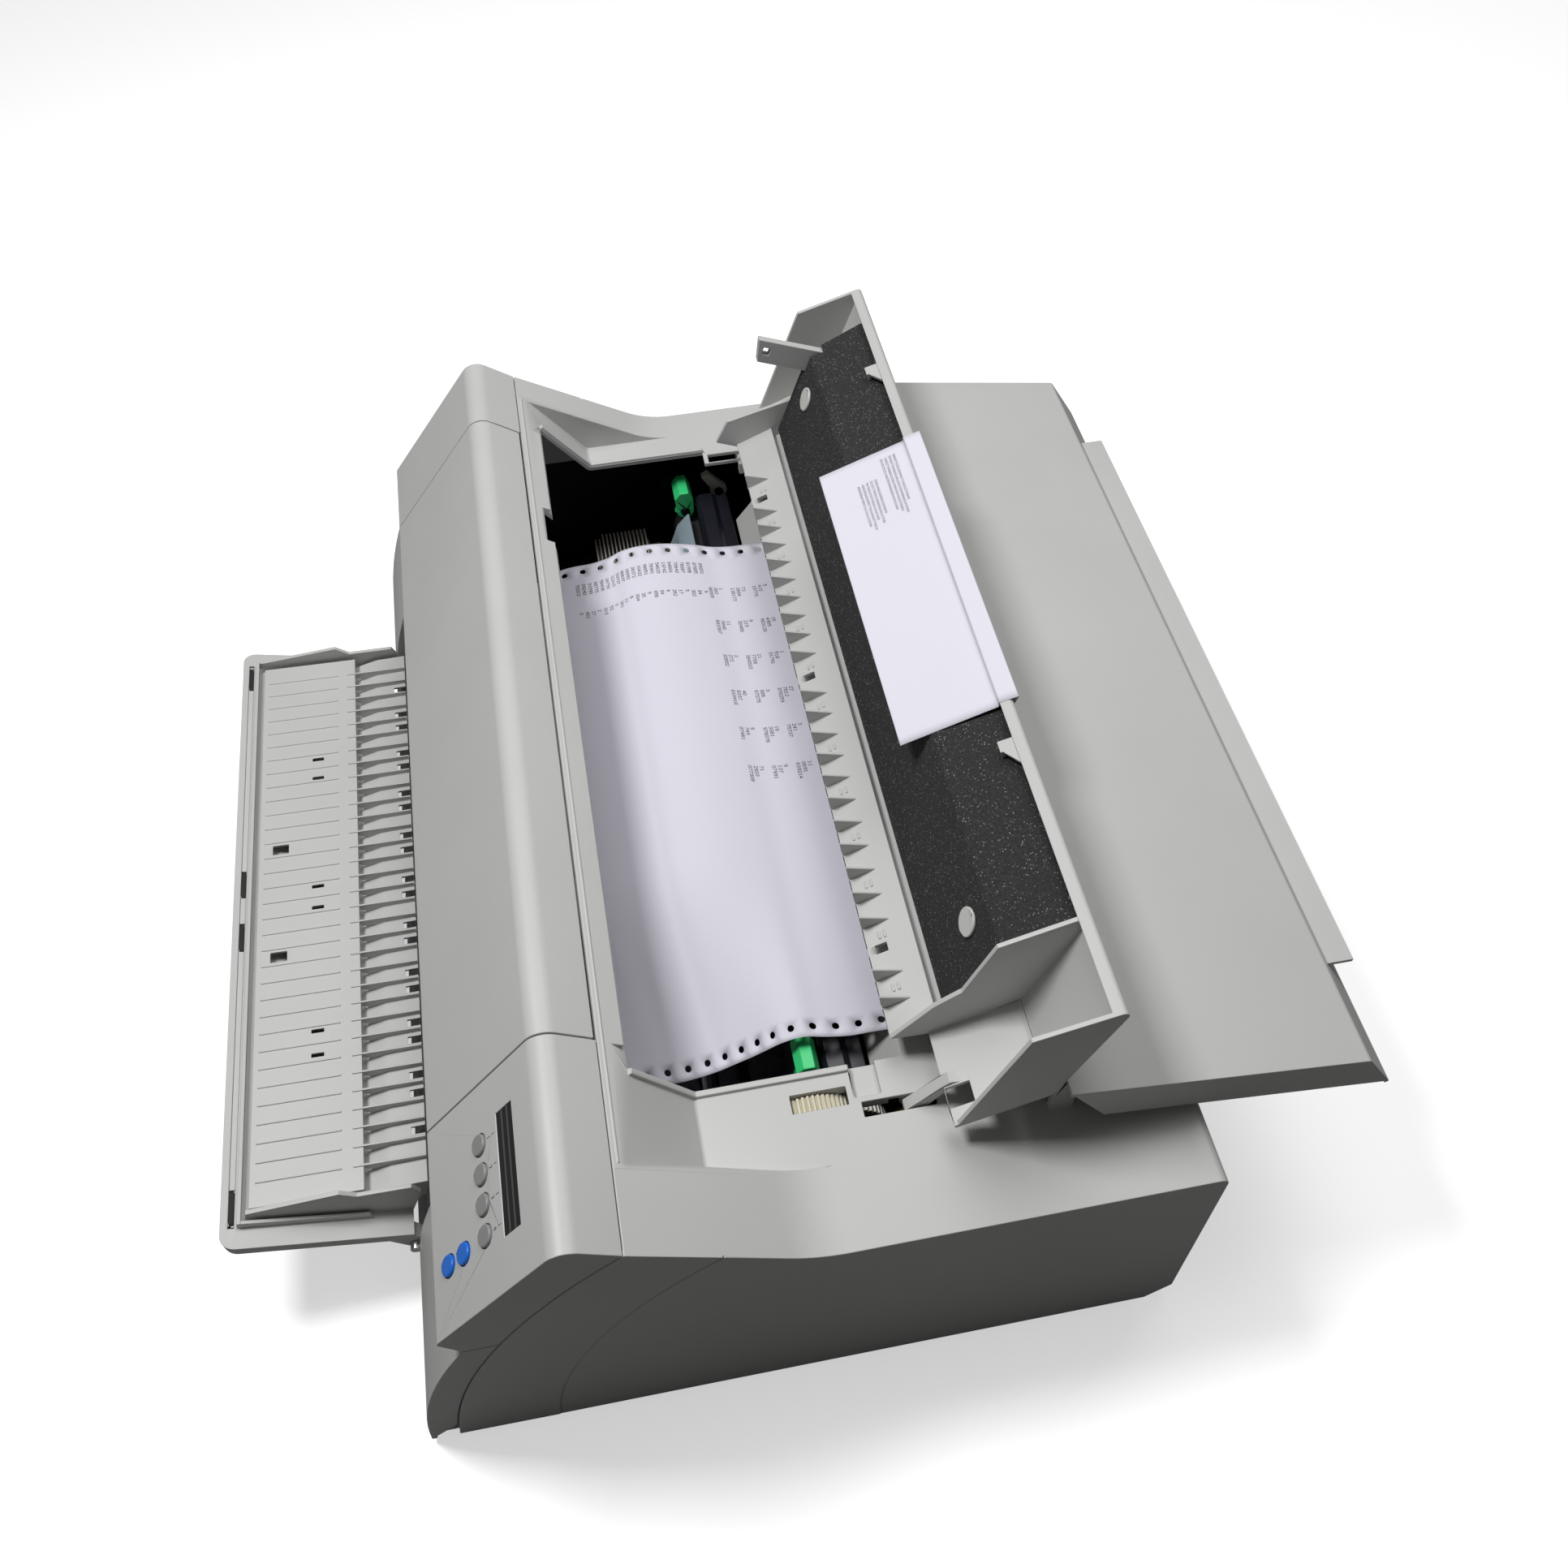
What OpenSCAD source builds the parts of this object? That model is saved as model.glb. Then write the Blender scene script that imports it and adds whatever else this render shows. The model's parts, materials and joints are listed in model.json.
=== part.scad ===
// Wide-carriage dot matrix printer with its top cover open and its front paper table down.
// Millimetres. +X is the printer's right, +Y its back, +Z up; the origin is on the floor, mid-footprint.
// Outlines are drawn in the Y-Z plane, seen from the right, and run along X.

/* [Housing] */
// Width over the side walls
body_w = 614; // [560:1:680]
// Back wall, behind the centre line
back_y = 200; // [190:1:220]
// Height of the deck above the floor
deck_z = 166; // [160:1:176]
// Moulded wall thickness
wall = 3; // [2:0.1:4]
// Rise of the deck in front of the valley, in degrees
rise_a = 30; // [27:1:32]
// Rounding of the valley where the rise meets the deck
valley_r = 60; // [30:1:90]
// Height of the rubber feet
foot_h = 5; // [3:0.5:8]
// Gap at the part lines between mouldings
seam_gap = 0.8; // [0.4:0.1:1.2]

/* [Hood and front] */
// Part line between hood and deck, in front of the centre line
seam_y = 86; // [82:1:90]
// Ridge of the hood, in front of the centre line
ridge_y = 112.5; // [108:0.5:116]
// Height of the ridge
ridge_z = 234; // [230:1:240]
// Rounding of the ridge
ridge_r = 11; // [4:1:16]
// Lower edge of the hood's front face, in front of the centre line
chin_y = 180.5; // [176:0.5:184]
// Height of that lower edge
chin_z = 149; // [146:1:154]
// Width of the hood's left cap
cap_w = 60; // [40:1:70]
// Width of the hood's control section
panel_w = 106; // [100:1:110]
// Lowest point of the front, in front of the centre line
nose_y = 211; // [205:1:220]

/* [Cover] */
// Strip of deck left of the cover
strip_left = 25; // [22:1:40]
// Strip of deck right of the cover
strip_right = 45; // [30:1:60]
// Angle by which the cover stands open
cover_open = 111; // [60:1:111]
// Bend of the cover's lower edge, in front of the centre line
bend_y = 45; // [42:1:48]
// Height of the crown above the deck
crown_h = 39; // [34:1:40]
// From the left side wall to the mechanism opening
margin_left = 44; // [43:1:50]
// From the right side wall to the mechanism opening
margin_right = 94; // [90:1:110]
// Pitch of the fins on the comb
comb_pitch = 15.82; // [14:0.01:18]

/* [Paper table] */
// Width of the front paper table
table_w = 429; // [400:1:430]
// Reach of the table in front of the centre line
table_reach = 302; // [280:1:310]
// Slope of the table when it is down, in degrees
table_a = 15; // [10:1:18]
// Pitch of the ribs on the paper table
rib_pitch = 11.3; // [11:0.1:18]

/* [Rear panel] */
// Width of the rear panel
panel_rear_w = 536; // [520:1:540]
// Reach of the rear extension behind the centre line
rear_reach = 302; // [296:1:310]
// Width of the pull-out extension
ext_w = 418; // [380:1:430]

/* [Paper] */
// Width of the continuous form
paper_w = 377.8; // [300:0.1:378]
// Pitch of the feed holes
hole_pitch = 12.7; // [12:0.1:14]
// Diameter of a feed hole
hole_d = 4; // [3:0.1:5]

/* [Print line] */
// Platen roller radius
platen_r = 17; // [14:0.5:17]
// Platen axis behind the centre line
platen_y = 26; // [24:1:28]
// Platen axis above the floor
platen_z = 95; // [92:1:96]
// Radius of the head's cooling fins
fin_r = 30; // [22:1:31]
// Parked print head, from the left frame
park_in = 54; // [53:1:60]

/* [Hidden] */
$fn = 48;

// Clearances
over = 1;           // overrun of every cut
soft_gap = 0.3;     // between pieces that move past each other
fit_gap = 0.06;     // radial clearance of a running fit
key_gap = 0.4;      // round a key in its hole

// Colours
case_colour = [0.74, 0.74, 0.73];
steel_colour = [0.62, 0.63, 0.65];
dark_colour = [0.10, 0.10, 0.12];
green_colour = [0.15, 0.72, 0.36];
cream_colour = [0.80, 0.79, 0.70];

// Plane geometry
function polar(c, r, a) = [c[0] + r * cos(a), c[1] + r * sin(a)];
function arc(c, r, a0, a1, n) = [for (i = [0:n]) polar(c, r, a0 + (a1 - a0) * i / n)];
function unit(v) = v / norm(v);
function angle_of(v) = atan2(v[1], v[0]);
function short_turn(a) = a - 360 * floor((a + 180) / 360);
// Arc that rounds corner p of the path a, p, b with radius r
function fillet(a, p, b, r, n) =
    let (u = unit(a - p), v = unit(b - p), half = acos(u * v) / 2, o = p + unit(u + v) * r / sin(half),
         s = angle_of(p + u * r / tan(half) - o), e = angle_of(p + v * r / tan(half) - o))
    arc(o, r, s, s + short_turn(e - s), n);
// Path with its inner corners rounded: radii has one entry per point, 0 leaves it sharp
function rounded(path, radii, n = 6) =
    [for (i = [0:len(path) - 1])
        for (q = i == 0 || i == len(path) - 1 || radii[i] == 0 ? [path[i]]
                 : fillet(path[i - 1], path[i], path[i + 1], radii[i], n)) q];
// Circle through three points, and the arc along it from the first to the last
function centre3(a, b, c) =
    let (d = 2 * (a[0] * (b[1] - c[1]) + b[0] * (c[1] - a[1]) + c[0] * (a[1] - b[1])),
         x = (a * a) * (b[1] - c[1]) + (b * b) * (c[1] - a[1]) + (c * c) * (a[1] - b[1]),
         y = (a * a) * (c[0] - b[0]) + (b * b) * (a[0] - c[0]) + (c * c) * (b[0] - a[0]))
    [x, y] / d;
function arc3(a, b, c, n) =
    let (o = centre3(a, b, c), s = angle_of(a - o), e = angle_of(c - o))
    arc(o, norm(a - o), s, s + short_turn(e - s), n);
function reversed(v) = [for (i = [len(v) - 1:-1:0]) v[i]];
// Path moved sideways by d, to the right of its direction, with mitred corners
function right_of(v) = [v[1], -v[0]];
function shifted(path, d) =
    let (m = len(path))
    [for (i = [0:m - 1])
        let (p = path[i], u = unit(i == 0 ? path[1] - p : p - path[i - 1]),
             v = unit(i == m - 1 ? p - path[i - 1] : path[i + 1] - p),
             n = unit(right_of(u) + right_of(v)))
        p + n * d / (n * right_of(u))];
function strip(path, t) = concat(path, reversed(shifted(path, t)));
function z_on(a, b, y) = a[1] + (b[1] - a[1]) * (y - a[0]) / (b[0] - a[0]);
// Part of a descending path below height z, and the part above it
function y_at(path, z) = lookup(z, [for (p = path) [p[1], p[0]]]);
function below(path, z) = concat([[y_at(path, z), z]], [for (p = path) if (p[1] < z) p]);
function above(path, z) = concat([for (p = path) if (p[1] > z) p], [[y_at(path, z), z]]);
function without_last(v) = [for (i = [0:len(v) - 2]) v[i]];

module along_x(x0, x1) { translate([x0, 0, 0]) rotate([90, 0, 90]) linear_extrude(x1 - x0) children(); }
module plate_x(points, x0, x1) { along_x(x0, x1) polygon(points); }
module wall_x(path, t, x0, x1) { along_x(x0, x1) polygon(strip(path, t)); }
module rod_x(r, x0, x1, y, z) { translate([x0, y, z]) rotate([0, 90, 0]) cylinder(r = r, h = x1 - x0); }
module rod_y(r, y0, y1, x, z) { translate([x, y1, z]) rotate([90, 0, 0]) cylinder(r = r, h = y1 - y0); }
module block(x0, x1, y0, y1, z0, z1) { translate([x0, y0, z0]) cube([x1 - x0, y1 - y0, z1 - z0]); }
module both_sides() { children(); mirror([1, 0, 0]) children(); }

// Housing outline
body_x = body_w / 2;
inner_x = body_x - wall;
seam_z = deck_z + seam_y * tan(rise_a);
seam_p = [-seam_y, seam_z];
back_top_r = 5;
back_foot_y = 14;    // run of the chamfer under the back wall
back_foot_z = 14;
back_low = [back_y - back_foot_y, foot_h];
// Side part lines: the front one parts hood and housing, the rear one is a groove
front_line_mid = [-seam_y - 61, deck_z - 23];
front_line_foot = [-nose_y + 15, foot_h];
front_line = arc3(seam_p, front_line_mid, front_line_foot, 14);
groove_top_y = 43;
groove_top = [-groove_top_y, deck_z + groove_top_y * tan(rise_a)];
groove_line = arc3(groove_top, groove_top + [-67, -81], [-groove_top_y - 98, foot_h], 14);
groove_w = 0.8;
deck_path = rounded([seam_p, [0, deck_z], [back_y, deck_z], [back_y, foot_h + back_foot_z], back_low],
                    [0, valley_r, back_top_r, 0, 0], 8);
side_outline = concat(deck_path, without_last(reversed(front_line)));

// Recess that takes the cover
cover_left = -body_x + strip_left;
cover_right = body_x - strip_right;
cover_gap = 1.5;     // between the closed cover and the recess
recess_left = cover_left - cover_gap;
recess_right = cover_right + cover_gap;
open_left = body_x - margin_left;
open_right = body_x - margin_right;
lip_y = seam_y - 6;
lip_p = [-lip_y, z_on(seam_p, groove_top, -lip_y)];
bend_p = [-bend_y, deck_z];
bend_r = 3;
recess_path = rounded([seam_p, lip_p, bend_p, [back_y, deck_z], [back_y, foot_h + back_foot_z], back_low],
                      [0, 0, bend_r, back_top_r, 0, 0], 8);
ledge_w = 6;         // flange that carries the rise on past the lip
open_front_y = lip_y - ledge_w;
open_back_y = 62;
open_step_y = 33;    // behind it the opening is narrower on the left
open_step = 12;
rim_w = 3.3;
rim_h = 2;
rim_inset = 0.3;
ledge_in = 10;       // from each end of the opening to the flange
notch_x = [-178, -148]; // break in the flange
notch_y = lip_y - 1.5;

// Cover hinge
hinge_y = 61;
hinge_z = deck_z - 5;
hinge_pin_r = 2.5;
eye_r = 5;
arm_w = 6;
arm_right_x = open_right + 25;
arm_left_x = open_left - 7;
arm_xs = [-arm_left_x, arm_right_x];
arm_slot = 1;        // clearance of an arm in its slot
arm_slot_front = 36;
arm_slot_back = 73;
ear_t = 5;

rim_path = rounded([[-open_front_y, z_on(lip_p, bend_p, -open_front_y)], bend_p, [open_step_y, deck_z]],
                   [0, bend_r, 0]);

// Thumbwheel window
window_x0 = open_right + 11;
window_x1 = window_x0 + 10;
window_y0 = 1.5;
window_y1 = 30;
well_depth = 4.5;
well_t = 2;
// Shallow pocket in the deck behind it, open to the mechanism
pocket_x1 = open_right + 18;
pocket_y0 = open_step_y + rim_inset;
pocket_y1 = open_step_y + 14;
pocket_depth = 4;

// Rear panel ears
rear_pivot_y = 131.5;
rear_pivot_z = deck_z + 32.5;
rear_pin_r = 2;
rear_ear_x = panel_rear_w / 2 - 16; // inner face of each ear
rear_ear_w = 4;
rear_ear_d = 12;
rear_ear_r = 4;

// Connectors in the back wall
inlet_x = body_x - 75;
inlet_z = 36;
inlet_w = 28;
inlet_h = 20;
switch_x = body_x - 117;
switch_w = 13;
switch_h = 20;
port_x = -150;
port_z = 34;
port_w = 62;
port_h = 15;
slot_z0 = 122;       // rear paper slot
slot_z1 = 150;
slot_x = paper_w / 2 + 16;
connector_gap = 0.4;

// Screw bosses between housing and base pan
boss_r = 6;
boss_h = 34;
boss_ys = [-150, 0, 165];
boss_x = inner_x - boss_r + 1;
screw_r = 2;
screw_head_r = 4;
screw_head_h = 2.4;
pan_t = 3;
pan_top = foot_h + pan_t;

module housing() {
    color(case_colour) difference() {
        union() {
            difference() {
                housing_shell();
                block(-open_left, open_right, -open_front_y, open_step_y, slot_z0, seam_z + over);
                block(-open_left + open_step, open_right, open_step_y - over, open_back_y, slot_z0,
                        seam_z + over);
                block(notch_x[0], notch_x[1], -notch_y, 0, slot_z1, seam_z + over);
                block(window_x0, window_x1, window_y0, window_y1, deck_z - wall - over, deck_z + over);
                block(open_right - over, pocket_x1, pocket_y0, pocket_y1, deck_z - wall - over, deck_z + over);
            }
            opening_rim();
            thumbwheel_cheeks();
            deck_pocket();
            for (x = arm_xs) hinge_bosses(x);
            screw_bosses();
        }
        for (x = arm_xs) {
            block(x - arm_w / 2 - arm_slot, x + arm_w / 2 + arm_slot, arm_slot_front, arm_slot_back,
                  hinge_z - 2 * eye_r, deck_z + over);
            rod_x(hinge_pin_r, x - arm_w / 2 - arm_slot - ear_t - over,
                    x + arm_w / 2 + arm_slot + ear_t + over,
                  hinge_y, hinge_z);
        }
        both_sides() rod_x(rear_pin_r, rear_ear_x - over, rear_ear_x + rear_ear_w + over, rear_pivot_y,
                rear_pivot_z);
        both_sides() side_groove();
        back_cutouts();
        for (p = boss_places())
            translate([p[0], p[1], pan_top - over]) cylinder(r = screw_r, h = boss_h);
    }
}
module housing_shell() {
    both_sides() {
        plate_x(side_outline, inner_x, body_x);
        rear_panel_ear();
    }
    wall_x(deck_path, wall, -body_x, recess_left);
    wall_x(deck_path, wall, recess_right, body_x);
    recess_end_wall(recess_left - wall);
    recess_end_wall(recess_right);
    wall_x(recess_path, wall, recess_left - wall, recess_right + wall);
    lip_flange();
}
// Triangular wall at one end of the recess, between the recess floor and the slope beside it
module recess_end_wall(x) {
    meet_y = 30;
    upper = [for (p = deck_path) if (p[0] < meet_y && p[0] > lip_p[0]) p];
    lower = [[meet_y, deck_z], [meet_y, deck_z - wall], bend_p + [0, -wall], lip_p + [0, -wall]];
    plate_x(concat([lip_p], upper, lower), x, x + wall);
}
// Turned-down flange that stiffens the strip between hood and opening
module lip_flange() {
    flange_h = 12;
    block(recess_left, recess_right, -seam_y, -seam_y + wall, seam_z - flange_h, seam_z - over);
}
// Raised rims at the ends of the opening, and the broken flange along its front
module opening_rim() {
    for (x = [-open_left - rim_inset - rim_w, open_right + rim_inset])
        plate_x(strip(shifted(rim_path, wall / 2), -rim_h - wall / 2), x, x + rim_w);
    ledge = [seam_p, [-open_front_y, z_on(seam_p, groove_top, -open_front_y)]];
    for (x = [[-open_left + ledge_in, notch_x[0]], [notch_x[1], open_right - ledge_in]])
        wall_x(ledge, wall, x[0], x[1]);
}
module thumbwheel_cheeks() {
    for (x = [window_x0 - well_t, window_x1])
        block(x, x + well_t, window_y0, window_y1, deck_z - wall - well_depth, deck_z - wall + over);
}
module deck_pocket() {
    floor_z = deck_z - pocket_depth;
    difference() {
        block(open_right, pocket_x1 + wall, pocket_y0 - wall, pocket_y1 + wall, floor_z - wall,
                deck_z - wall + over);
        block(open_right - over, pocket_x1, pocket_y0, pocket_y1, floor_z, deck_z);
    }
}
module hinge_bosses(x) {
    for (s = [-1, 1]) {
        inner = x + s * (arm_w / 2 + arm_slot);
        outer = inner + s * ear_t;
        block(min(inner, outer), max(inner, outer), hinge_y - eye_r, hinge_y + eye_r, hinge_z - eye_r,
                deck_z - over);
    }
}
module rear_panel_ear() {
    plate_x(concat([[rear_pivot_y + rear_ear_d / 2, deck_z - wall],
            [rear_pivot_y + rear_ear_d / 2, deck_z + rear_ear_d]],
                   arc([rear_pivot_y, rear_pivot_z], rear_ear_r, 0, 180, 12),
                   [[rear_pivot_y - rear_ear_d / 2, deck_z + rear_ear_d],
                   [rear_pivot_y - rear_ear_d / 2, deck_z - wall]]),
            rear_ear_x, rear_ear_x + rear_ear_w);
}
function boss_places() = [for (y = boss_ys) for (s = [-1, 1]) [s * boss_x, y]];
module screw_bosses() {
    for (p = boss_places())
        translate([p[0], p[1], pan_top]) cylinder(r = boss_r, h = boss_h);
}
module side_groove() {
    depth = 0.8;
    plate_x(strip(groove_line, groove_w), body_x - depth, body_x + over);
}
module back_cutouts() {
    block(inlet_x - inlet_w / 2, inlet_x + inlet_w / 2, back_y - wall - over, back_y + over,
          inlet_z - inlet_h / 2, inlet_z + inlet_h / 2);
    block(switch_x - switch_w / 2, switch_x + switch_w / 2, back_y - wall - over, back_y + over,
          inlet_z - switch_h / 2, inlet_z + switch_h / 2);
    block(port_x - port_w / 2, port_x + port_w / 2, back_y - wall - over, back_y + over,
          port_z - port_h / 2, port_z + port_h / 2);
    block(-slot_x, slot_x, back_y - wall - over, back_y + over, slot_z0, slot_z1);
}

// Base pan and feet
pan_x = inner_x - soft_gap;
pan_front = front_line_foot[0] + 6;
pan_back = back_low[0] - wall;
pan_rim_h = 12;
pan_rim_t = 1.5;
pan_wall_inset = 2 * boss_r + 3;
foot_r = 9;
foot_places = [[-pan_x + 40, pan_front + 20], [pan_x - 40, pan_front + 20],
               [-pan_x + 40, pan_back - 20], [pan_x - 40, pan_back - 20]];
module base_pan() {
    color(steel_colour) difference() {
        union() {
            block(-pan_x, pan_x, pan_front, pan_back, foot_h, pan_top);
            for (s = [-1, 1]) {
                rim_x = s * (pan_x - pan_wall_inset);
                block(rim_x - pan_rim_t / 2, rim_x + pan_rim_t / 2, pan_front, pan_back, pan_top - over,
                        pan_top + pan_rim_h);
            }
        }
        for (p = boss_places()) translate([p[0], p[1], foot_h - over]) cylinder(r = screw_r + soft_gap,
                h = pan_t + 2 * over);
    }
}
module feet() {
    color(dark_colour) for (p = foot_places) translate([p[0], p[1], 0]) cylinder(r = foot_r, h = foot_h);
}
module screws() {
    shank = 20;
    color(steel_colour) for (p = boss_places()) {
        translate([p[0], p[1], foot_h - screw_head_h]) cylinder(r = screw_head_r, h = screw_head_h);
        translate([p[0], p[1], foot_h - over / 2]) cylinder(r = screw_r - fit_gap, h = shank);
    }
}

// Lower front with the mouth that the paper table closes
tuck_y = chin_y - 9.5;
tuck_z = chin_z - 15;
mouth_x = table_w / 2 + 1.5;
table_hinge = [-nose_y + 4, 48];
mouth_z0 = table_hinge[1] - 9;
nose_p = [-nose_y, foot_h];
front_bulge = [-nose_y + 11.5, 69];
front_path = arc3(nose_p, front_bulge, [-tuck_y, tuck_z - seam_gap], 12);
flap_pin_r = 3;
module lower_front() {
    color(case_colour) difference() {
        union() {
            wall_x(front_path, wall, -body_x, body_x);
            both_sides() {
                plate_x(concat(front_path, front_side), inner_x, body_x);
                plate_x(table_cheek, mouth_x, mouth_x + wall);
            }
            block(-inner_x, inner_x, nose_p[0] + over, pan_front - soft_gap, foot_h, foot_h + wall);
        }
        block(-mouth_x, mouth_x, -nose_y - over, -tuck_y + 2 * wall, mouth_z0, chin_z);
        both_sides() rod_x(flap_pin_r, mouth_x - over, mouth_x + wall + over, table_hinge[0],
                table_hinge[1]);
    }
}
// Side of the lower front: from the mouth curve back to the part line
front_side = without_last(below(shifted(front_line, seam_gap), tuck_z - seam_gap));
cheek_d = 22;
table_cheek = concat([for (p = front_path) if (p[1] > mouth_z0 - 2 * wall) p],
                     reversed([for (p = front_path) if (p[1] > mouth_z0 - 2 * wall) p + [cheek_d, 0]]));

// Hood, in three mouldings that share one outline
chin_r = 4;
ridge_p = [-ridge_y, ridge_z];
hood_end = seam_p + unit(ridge_p - seam_p) * seam_gap;
hood_corners = [[-tuck_y, tuck_z], [-chin_y, chin_z], ridge_p, hood_end];
hood_path = rounded(hood_corners, [0, chin_r, ridge_r, 0], 8);
finger_gap = 0.8;    // added to the part line behind the middle cover
cover_corners = concat(without_last(hood_corners), [hood_end + unit(ridge_p - seam_p) * finger_gap]);
cover_path = rounded(cover_corners, [0, chin_r, ridge_r, 0], 8);
hood_back = above(shifted(front_line, seam_gap), tuck_z);
hood_side = concat(hood_path, [for (i = [1:len(hood_back) - 1]) hood_back[i]]);
hood_left = -body_x + cap_w;
hood_right = body_x - panel_w;
face_a = atan2(ridge_z - chin_z, chin_y - ridge_y);
module hood_left_cap() {
    color(case_colour) {
        wall_x(hood_path, wall, -body_x, hood_left - seam_gap / 2);
        plate_x(hood_side, -body_x, -inner_x);
    }
}
module hood_cover() {
    rib_t = 2;
    color(case_colour) {
        wall_x(cover_path, wall, hood_left + seam_gap / 2, hood_right - seam_gap / 2);
        for (x = [hood_left + seam_gap / 2, hood_right - seam_gap / 2 - rib_t])
            hood_rib(x, rib_t, cover_path, cover_corners);
    }
}
// Stiffening rib inside the hood, a band that follows its wall
module hood_rib(x, t, path, corners) {
    depth = 10;
    plate_x(concat(shifted(path, wall / 2), reversed(shifted(corners, depth))), x, x + t);
}

// Places on the hood's front face: x along the printer, s down the face from the ridge corner
module on_face(x, s) {
    translate([x, -ridge_y - s * cos(face_a), ridge_z - s * sin(face_a)]) rotate([face_a, 0, 0]) children();
}
key_r = 5.2;
key_proud = 1.4;
key_stem_r = 2.5;
key_depth = 9;
key_skirt = 1.2;
softkey_x0 = hood_right + 30.6;
softkey_pitch = 14.8;
softkey_s = 56.8;
blue_x = softkey_x0 + 3 * softkey_pitch;
menu_s = 77.1;
online_s = 91.7;
key_places = [for (i = [0:3]) [softkey_x0 + i * softkey_pitch, softkey_s]];
blue_places = [[blue_x, menu_s], [blue_x, online_s]];
window_w = 60;
window_h = 14.3;
window_s = 33.6;
window_x = hood_right + 52.3;
window_t = 1.5;
window_sunk = 0.3;
window_ledge = 2;
module control_hood() {
    color(case_colour) difference() {
        union() {
            wall_x(hood_path, wall, hood_right + seam_gap / 2, body_x);
            plate_x(hood_side, inner_x, body_x);
            hood_rib(hood_right + seam_gap / 2, wall, hood_path, hood_corners);
        }
        on_face(window_x, window_s) translate([-window_w / 2, -window_h / 2, -window_sunk - window_t])
            cube([window_w, window_h, wall]);
        on_face(window_x, window_s) translate([-window_w / 2 + window_ledge, -window_h / 2 + window_ledge,
                -wall - over])
            cube([window_w - 2 * window_ledge, window_h - 2 * window_ledge, wall + over]);
        for (p = concat(key_places, blue_places))
            on_face(p[0], p[1]) translate([0, 0, -wall - over]) cylinder(r = key_r + key_gap,
                    h = wall + 2 * over);
    }
}
module display_window() {
    edge = 0.15;
    color([0.05, 0.05, 0.06, 0.8]) on_face(window_x, window_s)
        translate([-window_w / 2 + edge, -window_h / 2 + edge, -window_sunk - window_t])
            cube([window_w - 2 * edge, window_h - 2 * edge, window_t]);
}
module key_cap(p) {
    on_face(p[0], p[1]) {
        translate([0, 0, -wall - key_skirt]) cylinder(r = key_r, h = wall + key_skirt + key_proud);
        translate([0, 0, -key_depth]) cylinder(r = key_stem_r, h = key_depth);
    }
}
module softkey_1() { color([0.52, 0.52, 0.52]) key_cap(key_places[0]); }
module softkey_2() { color([0.52, 0.52, 0.52]) key_cap(key_places[1]); }
module softkey_3() { color([0.52, 0.52, 0.52]) key_cap(key_places[2]); }
module softkey_4() { color([0.52, 0.52, 0.52]) key_cap(key_places[3]); }
module menu_key() { color([0.10, 0.34, 0.80]) key_cap(blue_places[0]); }
module online_key() { color([0.10, 0.34, 0.80]) key_cap(blue_places[1]); }
// Circuit board behind the keys, with a switch under each and the display's glass
key_switch_h = 4;
key_stroke = 1.2;
board_t = 1.6;
board_gap = key_depth + key_stroke + soft_gap + key_switch_h;
module key_board() {
    margin = 9;
    board_x0 = softkey_x0 - margin;
    board_x1 = blue_x + margin;
    board_s0 = window_s - window_h / 2;
    board_s1 = online_s + margin;
    switch_side = 6;
    post_r = 2.5;
    color([0.10, 0.32, 0.20]) {
        on_face(0, 0) translate([board_x0, -board_s1, -board_gap - board_t])
            cube([board_x1 - board_x0, board_s1 - board_s0, board_t]);
        for (p = concat(key_places, blue_places))
            on_face(p[0], p[1]) translate([-switch_side / 2, -switch_side / 2, -board_gap - over / 2])
                cube([switch_side, switch_side, key_switch_h + over / 2]);
        on_face(window_x, window_s) translate([-window_w / 2 + window_ledge, -window_h / 2 + window_ledge,
                -board_gap - over / 2])
            cube([window_w - 2 * window_ledge, window_h - 2 * window_ledge, board_gap + over / 2 - wall]);
        for (x = [board_x0 + post_r, board_x1 - post_r])
            on_face(x, board_s1 - post_r) translate([0, 0, -board_gap - over / 2])
                cylinder(r = post_r, h = board_gap + over / 2 - wall);
    }
}

// Top cover, drawn closed and then swung open about its hinge
cover_edge_z = deck_z + cover_gap;
cover_t = 2.5;
tip_p = [hinge_y - 22.4, cover_edge_z + 0.6];
crown_p = [5.5, deck_z + crown_h];
cover_bend = [-bend_y + cover_gap, cover_edge_z];
slope_dir = unit(bend_p - lip_p);
brow_p = cover_bend - slope_dir * (crown_p[1] - cover_edge_z) / -slope_dir[1];
flange_down = 10;
flange_end = brow_p + slope_dir * flange_down;
cover_skin = rounded([tip_p, crown_p, brow_p, flange_end], [0, 9, 3, 0], 8);
cover_side = concat(cover_skin, [cover_bend]);
comb_edge = [hinge_y - 17.4, hinge_z - 12.8];
comb_root = [hinge_y - 35.4, hinge_z + 6];
comb_t = 2.5;
comb_x0 = -open_left + 15.4;
comb_x1 = open_right - 4.5;
inner_wall_t = 2.5;
inner_wall = [comb_edge, [12.7, hinge_z - 2.5], [-1.3, cover_edge_z], cover_bend + [3, 0],
        flange_end + [1, 0],
              brow_p + [4, -over], crown_p + [-4, -over], tip_p + [-1.6, 1.5]];
left_cheek = [[tip_p[0] + 6.4, hinge_z - 27], [27, hinge_z - 25], [2, deck_z + 5], [10, deck_z + 26],
              tip_p + [-3, 2], comb_edge + [1.8, 1]];
post_x0 = comb_x0 - 0.4;
post_w = 5;
post_y0 = -42;
post_y1 = -26;
post_z0 = hinge_z - 27;
latch_xs = [cover_left + 86, cover_right - 152];
latch_w = 18;
latch_prong_w = 7;
latch_h = 8;
latch_root = 1;
latch_hook = 5;
latch_t = 2;
notch_x0 = arm_right_x + arm_w / 2 + 1;
notch_w = 11;
notch_d = 16;
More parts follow.
